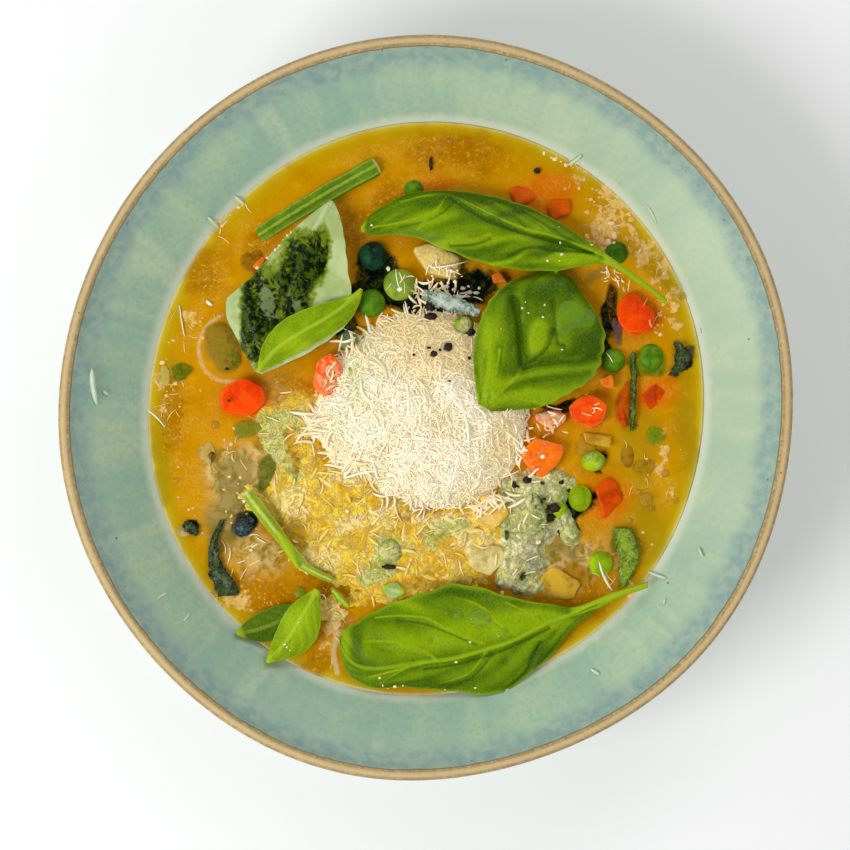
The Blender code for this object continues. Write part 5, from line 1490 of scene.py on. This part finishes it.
# loose cheese
# fields: photo x, y, half width and height, turn, how many, length, width, tone; strings: photo
# x, y of both ends, width; wall, the shreds on the bowl: photo x, y, length, turn, width
loose = {
    "fields": [
        (330, 505, 62, 46, 0, 20, (2, 6), (0.3, 0.7), 0.45),
        (430, 548, 76, 30, 0, 16, (2, 6), (0.3, 0.7), 0.45),
        (290, 430, 30, 34, 0, 14, (2, 6), (0.3, 0.7), 0.5),
        (320, 424, 16, 20, 0, 46, (4, 9), (0.7, 1.5), 0.95),
        (350, 462, 26, 10, 20, 40, (4, 9), (0.7, 1.5), 0.95),
        (360, 352, 22, 22, 0, 50, (2, 6), (0.5, 1.2), 0.75),
        (552, 424, 20, 18, 0, 14, (1.5, 4), (0.3, 0.9), 0.8),
        (588, 404, 20, 14, 0, 5, (1.5, 4), (0.2, 0.5), 0.6),
        (334, 372, 10, 24, 0, 16, (1.5, 5), (0.3, 0.8), 0.7),
        (440, 296, 38, 14, 8, 34, (2, 6), (0.3, 0.9), 0.85),
        (444, 270, 22, 10, 20, 14, (1.5, 4), (0.3, 0.7), 0.7),
        (400, 284, 14, 12, 0, 6, (2, 4), (0.2, 0.4), 0.7),
        (530, 500, 32, 30, 0, 9, (2, 5), (0.3, 0.9), 0.7),
        (526, 566, 24, 22, 0, 4, (2, 6), (0.3, 0.8), 0.6),
        (600, 572, 20, 20, 0, 5, (2, 5), (0.2, 0.4), 0.4),
        (196, 326, 24, 24, 0, 6, (2, 6), (0.2, 0.4), 0.15),
        (170, 405, 16, 36, 0, 8, (2, 6), (0.2, 0.4), 0.1),
        (240, 450, 24, 26, 0, 6, (2, 5), (0.2, 0.5), 0.25),
        (236, 540, 34, 40, 0, 12, (2, 5), (0.3, 0.6), 0.5),
        (612, 205, 40, 32, 45, 10, (1.5, 4), (0.2, 0.4), 0.15),
        (658, 290, 12, 44, 10, 8, (1.5, 4), (0.2, 0.4), 0.15),
        (220, 218, 22, 14, -45, 8, (2, 5), (0.25, 0.5), 0.4),
        (640, 470, 30, 60, 0, 8, (2, 4), (0.15, 0.3), 0.1),
        (330, 610, 26, 34, 0, 8, (2, 5), (0.2, 0.5), 0.3),
        (612, 275, 14, 8, 20, 14, (1.5, 4), (0.3, 0.7), 0.7),
        (517, 424, 10, 40, 0, 44, (3, 7), (0.5, 1.2), 0.95),
        (486, 503, 26, 9, -20, 34, (3, 7), (0.5, 1.1), 0.95),
        (410, 500, 40, 9, 20, 30, (3, 7), (0.5, 1.1), 0.95),
        (404, 318, 30, 8, -10, 26, (3, 6), (0.5, 1.0), 0.85)],
    "strings": [
        (366, 314, 371, 334, 0.9), (343, 328, 363, 337, 0.5), (405, 300, 409, 318, 0.6),
        (597, 561, 611, 591, 0.8), (179, 304, 184, 336, 0.5), (148, 408, 166, 426, 0.5),
        (462, 398, 471, 452, 1.0), (322, 421, 334, 412, 1.3), (322, 440, 340, 428, 1.2),
        (345, 476, 378, 468, 1.1), (372, 455, 379, 480, 0.9), (348, 450, 356, 470, 1.3),
        (470, 330, 480, 338, 0.5), (430, 270, 470, 262, 0.6), (545, 405, 562, 410, 0.5),
        (500, 478, 520, 470, 0.5), (254, 505, 262, 520, 0.4), (395, 268, 399, 290, 0.5),
        (606, 352, 612, 362, 0.4), (420, 292, 446, 302, 0.9), (414, 284, 436, 300, 0.7),
        (440, 290, 474, 316, 1.0), (330, 402, 344, 412, 0.8), (206, 300, 212, 305, 1.1)],
    "wall": [
        (100, 387, 36, 84, 1.9), (111, 393, 6, 40, 1.0), (166, 592, 10, 150, 1.2), (190, 614, 9, 130, 1.0),
        (221, 669, 8, 20, 0.9), (651, 214, 20, 60, 0.9), (616, 183, 5, 10, 1.2), (656, 574, 18, 20, 1.1),
        (662, 599, 6, 100, 0.9), (593, 668, 9, 30, 1.1), (697, 550, 10, 70, 1.0), (240, 200, 12, 40, 1.0),
        (214, 222, 14, 45, 1.3), (700, 330, 6, 80, 0.9), (640, 250, 6, 120, 0.8), (575, 160, 16, -35, 1.6)],
}


def scatter(rng, fields):
    # x, y, length, width and tone of every loose shred: normal spread inside each field
    parts = []
    for px, py, across, down, turn, count, long, wide, tone in fields:
        u, v = rng.normal(0, 0.5, (2, count))
        u, v = turned(across * u, down * v, turn)
        parts.append(np.stack([*spot(px + u, py + v), rng.uniform(*long, count), rng.uniform(*wide, count),
                               rng.normal(tone, 0.15, count)]))
    return np.concatenate(parts, axis=1)


def makeLooseCheese():
    rng = np.random.default_rng(21)
    loosePieces = scatter(rng, loose["fields"])
    x, y, long, wide, tone = loosePieces[:, shoreDistance(*loosePieces[:2]) > 1.0]
    n = len(x)
    heading, curl = rng.uniform(0, 2 * math.pi, n), rng.normal(0, 1.0, n)
    lift, tilt = rng.uniform(0.0, 0.2, n) + 0.1 + 0.25 * (tone > 0.7), rng.uniform(-0.2, 0.2, n)
    finish = cheeseMaterial("loose cheese", (248, 236, 200), (236, 190, 84), 0.45, 0.1)
    makeShreds("loose_cheese_shreds", x, y, heading, long, wide, 0.25, curl, lift, tilt, foodTop, finish,
               {"tone": np.clip(tone, 0, 1), "melt": 0.0})
    # strings: the same shreds laid from one end to the other
    ends, wall = np.array(loose["strings"], float), np.array(loose["wall"], float)
    (x0, y0), (x1, y1) = spot(ends[:, 0], ends[:, 1]), spot(ends[:, 2], ends[:, 3])
    wx, wy = spot(wall[:, 0], wall[:, 1])
    x, y = np.append((x0 + x1) / 2, wx), np.append((y0 + y1) / 2, wy)
    heading = np.append(np.arctan2(y1 - y0, x1 - x0), -np.radians(wall[:, 3]))
    long = np.append(np.hypot(x1 - x0, y1 - y0), wall[:, 2] * photo["scale"])
    wide = np.append(ends[:, 4], wall[:, 4])
    n = len(x)
    curl, lift = rng.uniform(-0.5, 0.5, n), np.full(n, 0.35)
    tone = np.append(np.full(len(ends), 1.0), np.full(len(wall), 0.2))
    finish = cheeseMaterial("pale cheese strings", (252, 246, 224), (184, 204, 176), 0.4, 0.06)
    makeShreds("cheese_strings", x, y, heading, long, wide, 0.4, curl, lift, np.zeros(n),
               lambda px, py: np.maximum(foodTop(px, py), resting(px, py)),
               finish, {"tone": tone, "melt": 0.0}, segments=10)


makeLooseCheese()
print("loose cheese scattered")

# crumbs of cheese: photo x, y, half width, half height, turn, count, size, tone; crumbs on leaves:
# photo x, y; pepper: photo x, y, width and height of single specks
crumbs = {
    "fields": [
        (618, 198, 40, 22, 45, 60, (0.5, 1.5), 0.1), (664, 300, 9, 50, 8, 26, (0.5, 1.4), 0.1),
        (600, 232, 20, 12, 30, 16, (0.6, 1.8), 0.2), (566, 160, 26, 7, 20, 22, (0.4, 1.1), 0.6),
        (168, 380, 12, 40, 0, 14, (0.4, 1.1), 0.1), (200, 330, 20, 20, -40, 12, (0.4, 1.1), 0.1),
        (225, 500, 36, 60, 0, 26, (0.4, 1.0), 0.4), (262, 590, 44, 26, 0, 14, (0.2, 0.5), 0.05),
        (222, 220, 26, 7, -50, 18, (0.4, 1.0), 0.35), (330, 520, 70, 60, 0, 12, (0.4, 1.1), 0.5),
        (440, 560, 80, 26, 0, 12, (0.4, 1.1), 0.5), (530, 515, 34, 44, 0, 8, (0.4, 1.0), 0.7),
        (640, 560, 20, 40, 10, 10, (0.4, 1.0), 0.2), (430, 420, 80, 70, 0, 120, (0.4, 1.2), 0.9),
        (660, 460, 20, 50, 0, 8, (0.3, 0.7), 0.1), (440, 290, 44, 16, 5, 34, (0.5, 1.4), 0.85)],
    "onLeaves": {
        "basil_leaf_top": [
            (558, 228), (559, 244), (560, 256), (558, 262), (546, 262), (590, 246), (372, 226)],
        "basil_leaf_right": [
            (521, 309), (527, 314), (543, 306), (524, 303), (541, 318), (500, 330), (560, 350)],
        "basil_leaf_bottom": [
            (456, 660), (475, 686), (445, 688), (403, 684), (383, 684), (388, 687), (395, 685), (470, 640),
            (498, 634), (380, 676)],
        "basil_leaf_folded": [
            (292, 233), (284, 240), (276, 250), (268, 258), (258, 268), (288, 236), (280, 246)],
        "sprig_leaf_bright": [(286, 642), (291, 648), (288, 645), (300, 620)]},
    "pepper": [
        (448, 347, 10, 10), (434, 354, 8, 7), (469, 358, 4, 4), (537, 170, 8, 6), (527, 479, 9, 8),
        (514, 484, 5, 8), (561, 482, 6, 4), (431, 305, 12, 12), (431, 316, 14, 8), (431, 163, 4, 14),
        (554, 507, 13, 10), (550, 517, 10, 8), (440, 350, 3, 3), (429, 348, 5, 3), (414, 355, 3, 3),
        (449, 381, 4, 2), (544, 498, 4, 3), (470, 332, 12, 9), (227, 368, 5, 3), (230, 400, 3, 3),
        (389, 566, 18, 5)],
}


def makeCrumbs():
    rng = np.random.default_rng(31)
    # a crumb's second size isn't used, but its draws keep their place
    fields = [(*field[:7], (1, 1.01), field[7]) for field in crumbs["fields"]]
    x, y, size, _, tone = scatter(rng, fields)
    size *= 0.5
    inPool = shoreDistance(x, y) > np.where(tone > 0.3, -1.5, 1.5)
    x, y, size, tone = x[inPool], y[inPool], size[inPool], tone[inPool]
    z = foodTop(x, y) + size * 0.15
    for leaf, places in crumbs["onLeaves"].items():
        cx, cy = spot(*np.array(places, float).T)
        x, y, z = np.append(x, cx), np.append(y, cy), np.append(z, leafTop(leaf, cx, cy) + 0.15)
        size = np.append(size, rng.uniform(0.15, 0.42, len(cx)))
        tone = np.append(tone, np.full(len(cx), 0.6))
    n, grid = len(x), (4, 7)
    stretch = np.stack([rng.uniform(0.8, 1.7, n), rng.uniform(0.8, 1.4, n), np.full(n, 0.4)], -1)
    corners = grid[0] * grid[1] + 2
    marks = {"tone": np.repeat(np.clip(tone, 0, 1), corners), "melt": np.zeros(n * corners)}
    finish = cheeseMaterial("cheese crumbs", (248, 238, 206), (228, 172, 70), 0.5, 0.05)
    makeBalls("cheese_crumbs", flat(x, y, z), size[:, None] * stretch, grid, finish, marks,
              1 + rng.uniform(-0.25, 0.25, (n, corners, 1)))
    # peppercorn pieces and dark flecks
    px, py, across, down = np.array(crumbs["pepper"], float).T
    x, y = spot(px, py)
    size = np.stack([across, down, np.minimum(across, down)], -1) * photo["scale"] / 2
    z = foodTop(x, y) + 0.35 + 0.6 * (heapShare(x, y) < 1)
    paint = Paint("cracked pepper", Specular_IOR_Level=0.3)
    grain = paint.noise(0.6, 1.0, 4.0, 0.7)
    shade = paint.mix(grain.rise(0.4, 0.65), (14, 6, 4), (56, 34, 20))
    finish = paint.done(shade, Roughness=0.5 + grain * 0.2, Normal=paint.bump(grain, 0.1))
    makeBalls("pepper_specks", flat(x, y, z), size, grid, finish,
              reach=1 + rng.uniform(-0.12, 0.12, (len(x), corners, 1)))


makeCrumbs()
print("crumbs and pepper added")

# things under or level with the broth: slot, then photo x, y, half width, half height, turn, colour
sunken = {
    "sunken_onion": (
        "onion",
        [
            (224, 346, 19, 30, -20, (150, 128, 34)), (232, 356, 9, 16, -10, (116, 118, 24)),
            (254, 262, 15, 13, 30, (150, 96, 0))]),
    "sunken_celery": (
        "stalk",
        [
            (248, 428, 17, 10, -10, (124, 136, 30)), (181, 371, 12, 10, -30, (80, 110, 6)),
            (164, 376, 7, 12, 0, (206, 190, 90)), (207, 452, 10, 11, 0, (206, 180, 100)),
            (211, 455, 5, 7, 0, (84, 56, 6)), (266, 472, 10, 21, 10, (92, 114, 30)),
            (184, 531, 9, 6, 0, (206, 190, 120)), (655, 435, 11, 10, 0, (110, 146, 14)),
            (300, 592, 6, 6, 0, (120, 150, 20))]),
    "sunken_leaf_bits_and_shadows": (
        "greens",
        [
            (242, 524, 12, 14, 20, (18, 44, 46)), (575, 575, 18, 14, 10, (176, 128, 12)),
            (648, 362, 22, 17, 0, (104, 136, 16)), (350, 322, 9, 9, 0, (30, 44, 20)),
            # the two near black bits on the next line are painted shadow: one under the lower edge of the
            # right basil leaf, one beside carrot 3
            (556, 408, 20, 4, 8, (20, 20, 14)), (612, 302, 6, 24, 0, (10, 8, 8)),
            (617, 330, 5, 17, -12, (112, 94, 104)), (624, 540, 17, 16, 0, (120, 140, 16)),
            (586, 446, 12, 14, 0, (196, 148, 36)), (624, 404, 9, 26, 8, (204, 78, 4)),
            (644, 466, 14, 8, 0, (176, 132, 10)), (690, 352, 5, 10, 0, (40, 70, 60))]),
}


def makeSunken(name, slot, bits):
    # low domes just above the broth: height (1 - r2) with a wavy outline, each in its own tint
    rows, columns = 14, 40
    r = (np.arange(rows + 1) / rows)[1:, None]
    a = around(columns)[None]
    points, tints = [], []
    for k, (px, py, across, down, turn, tint) in enumerate(bits):
        cx, cy = spot(px, py)
        wavy = photo["scale"] * r * (1 + 0.10 * np.cos(3 * a + k) + 0.06 * np.cos(5 * a + 2 * k))
        u, v = turned(across * wavy * np.cos(a), down * wavy * np.sin(a), -turn)
        x, y = cx + u, cy + v
        z = brothLevel + 0.28 + 0.35 * (1 - r ** 2) + 0.12 * waver(flat(x, y), 2.0, 81 + k)
        crown, foot = brothLevel + 0.8, brothLevel - 0.6
        z[-1] = foot
        points += [flat(x, y, z).reshape(-1, 3), flat(cx, cy, [crown, foot])]
        tints.append(np.tile(linear(tint)[:3], (rows * columns + 2, 1)))
    faces = manyFaces(roundFaces(rows, columns), rows * columns + 2, len(bits))
    paint = Paint(name.replace("_", " "), IOR=1.35, Specular_IOR_Level=0.3)
    fine = paint.noise(1.2, 1.0, 4.0, 0.7)
    base = paint.mix(fine.rise(0.40, 0.66) * 0.35, paint.mark("tint", "Vector"), (206, 150, 20))
    base = paint.mix((1 - paint.noise(2.4, 2.0, 3.0).rise(0.36, 0.5)) * 0.35, base, (60, 50, 4))
    solid = (paint.mark("fade") + (paint.noise(2.0, 4.0) - 0.5) * 0.6).rise(0.15, 0.8) * 0.75
    finish = paint.done(base, Roughness=0.22 + fine * 0.1, Normal=paint.bump(fine, 0.15), Alpha=solid)
    fade = np.append(np.repeat(1 - r[:, 0] ** 4, columns), [1, 0])
    marks = {"tint": np.concatenate(tints), "fade": np.tile(fade, len(bits))}
    makePiece(name, np.concatenate(points), faces, finish, marks=marks)


for sunkenName, sunkenForm in sunken.items():
    makeSunken(sunkenName, *sunkenForm)
print("sunken bits added")

# drops of broth and water: photo x, y, half width, half height
drops = {
    "onLeaf": [(480, 616, 11, 9), (458, 613, 5, 5), (446, 611, 3, 3), (505, 628, 3, 3), (430, 640, 2, 2)],
    "bubbles": [
        (646, 499, 7, 7), (665, 473, 4, 4), (215, 424, 4, 4), (683, 295, 6, 4), (652, 508, 3, 3),
        (638, 492, 3, 3), (236, 436, 3, 3), (590, 640, 3, 3), (176, 480, 3, 3), (450, 140, 3, 3),
        (676, 500, 3, 3), (630, 520, 3, 3)],
}


def makeDrops(name, places, height, colour, alpha, leaf=None):
    # flat domes: direction scaled to the drop
    px, py, across, down = np.array(places, float).T
    x, y = spot(px, py)
    z = leafTop(leaf, x, y) if leaf else np.full(len(x), brothLevel + 0.1)
    size = np.stack([across * photo["scale"], down * photo["scale"], np.full(len(x), height)], -1)
    paint = Paint(name.replace("_", " "), Roughness=0.04, IOR=1.33, Specular_IOR_Level=0.6, Alpha=alpha)
    shade = tuple(0.85 * c for c in colour)
    finish = paint.done(paint.mix(paint.noise(1.5, 1.0).rise(0.4, 0.6), colour, shade))
    ways = ballGrid(7, 20)
    pressed = np.where(ways[:, 2:] < 0, 0.4, 1)[None] ** [0, 0, 1]
    makeBalls(name, flat(x, y, z), size, (7, 20), finish, reach=pressed)


makeDrops("leaf_drops", drops["onLeaf"], 0.9, (150, 190, 60), 0.35, "basil_leaf_bottom")
makeDrops("broth_bubbles", drops["bubbles"], 0.7, (214, 170, 60), 0.4)
print("drops added")
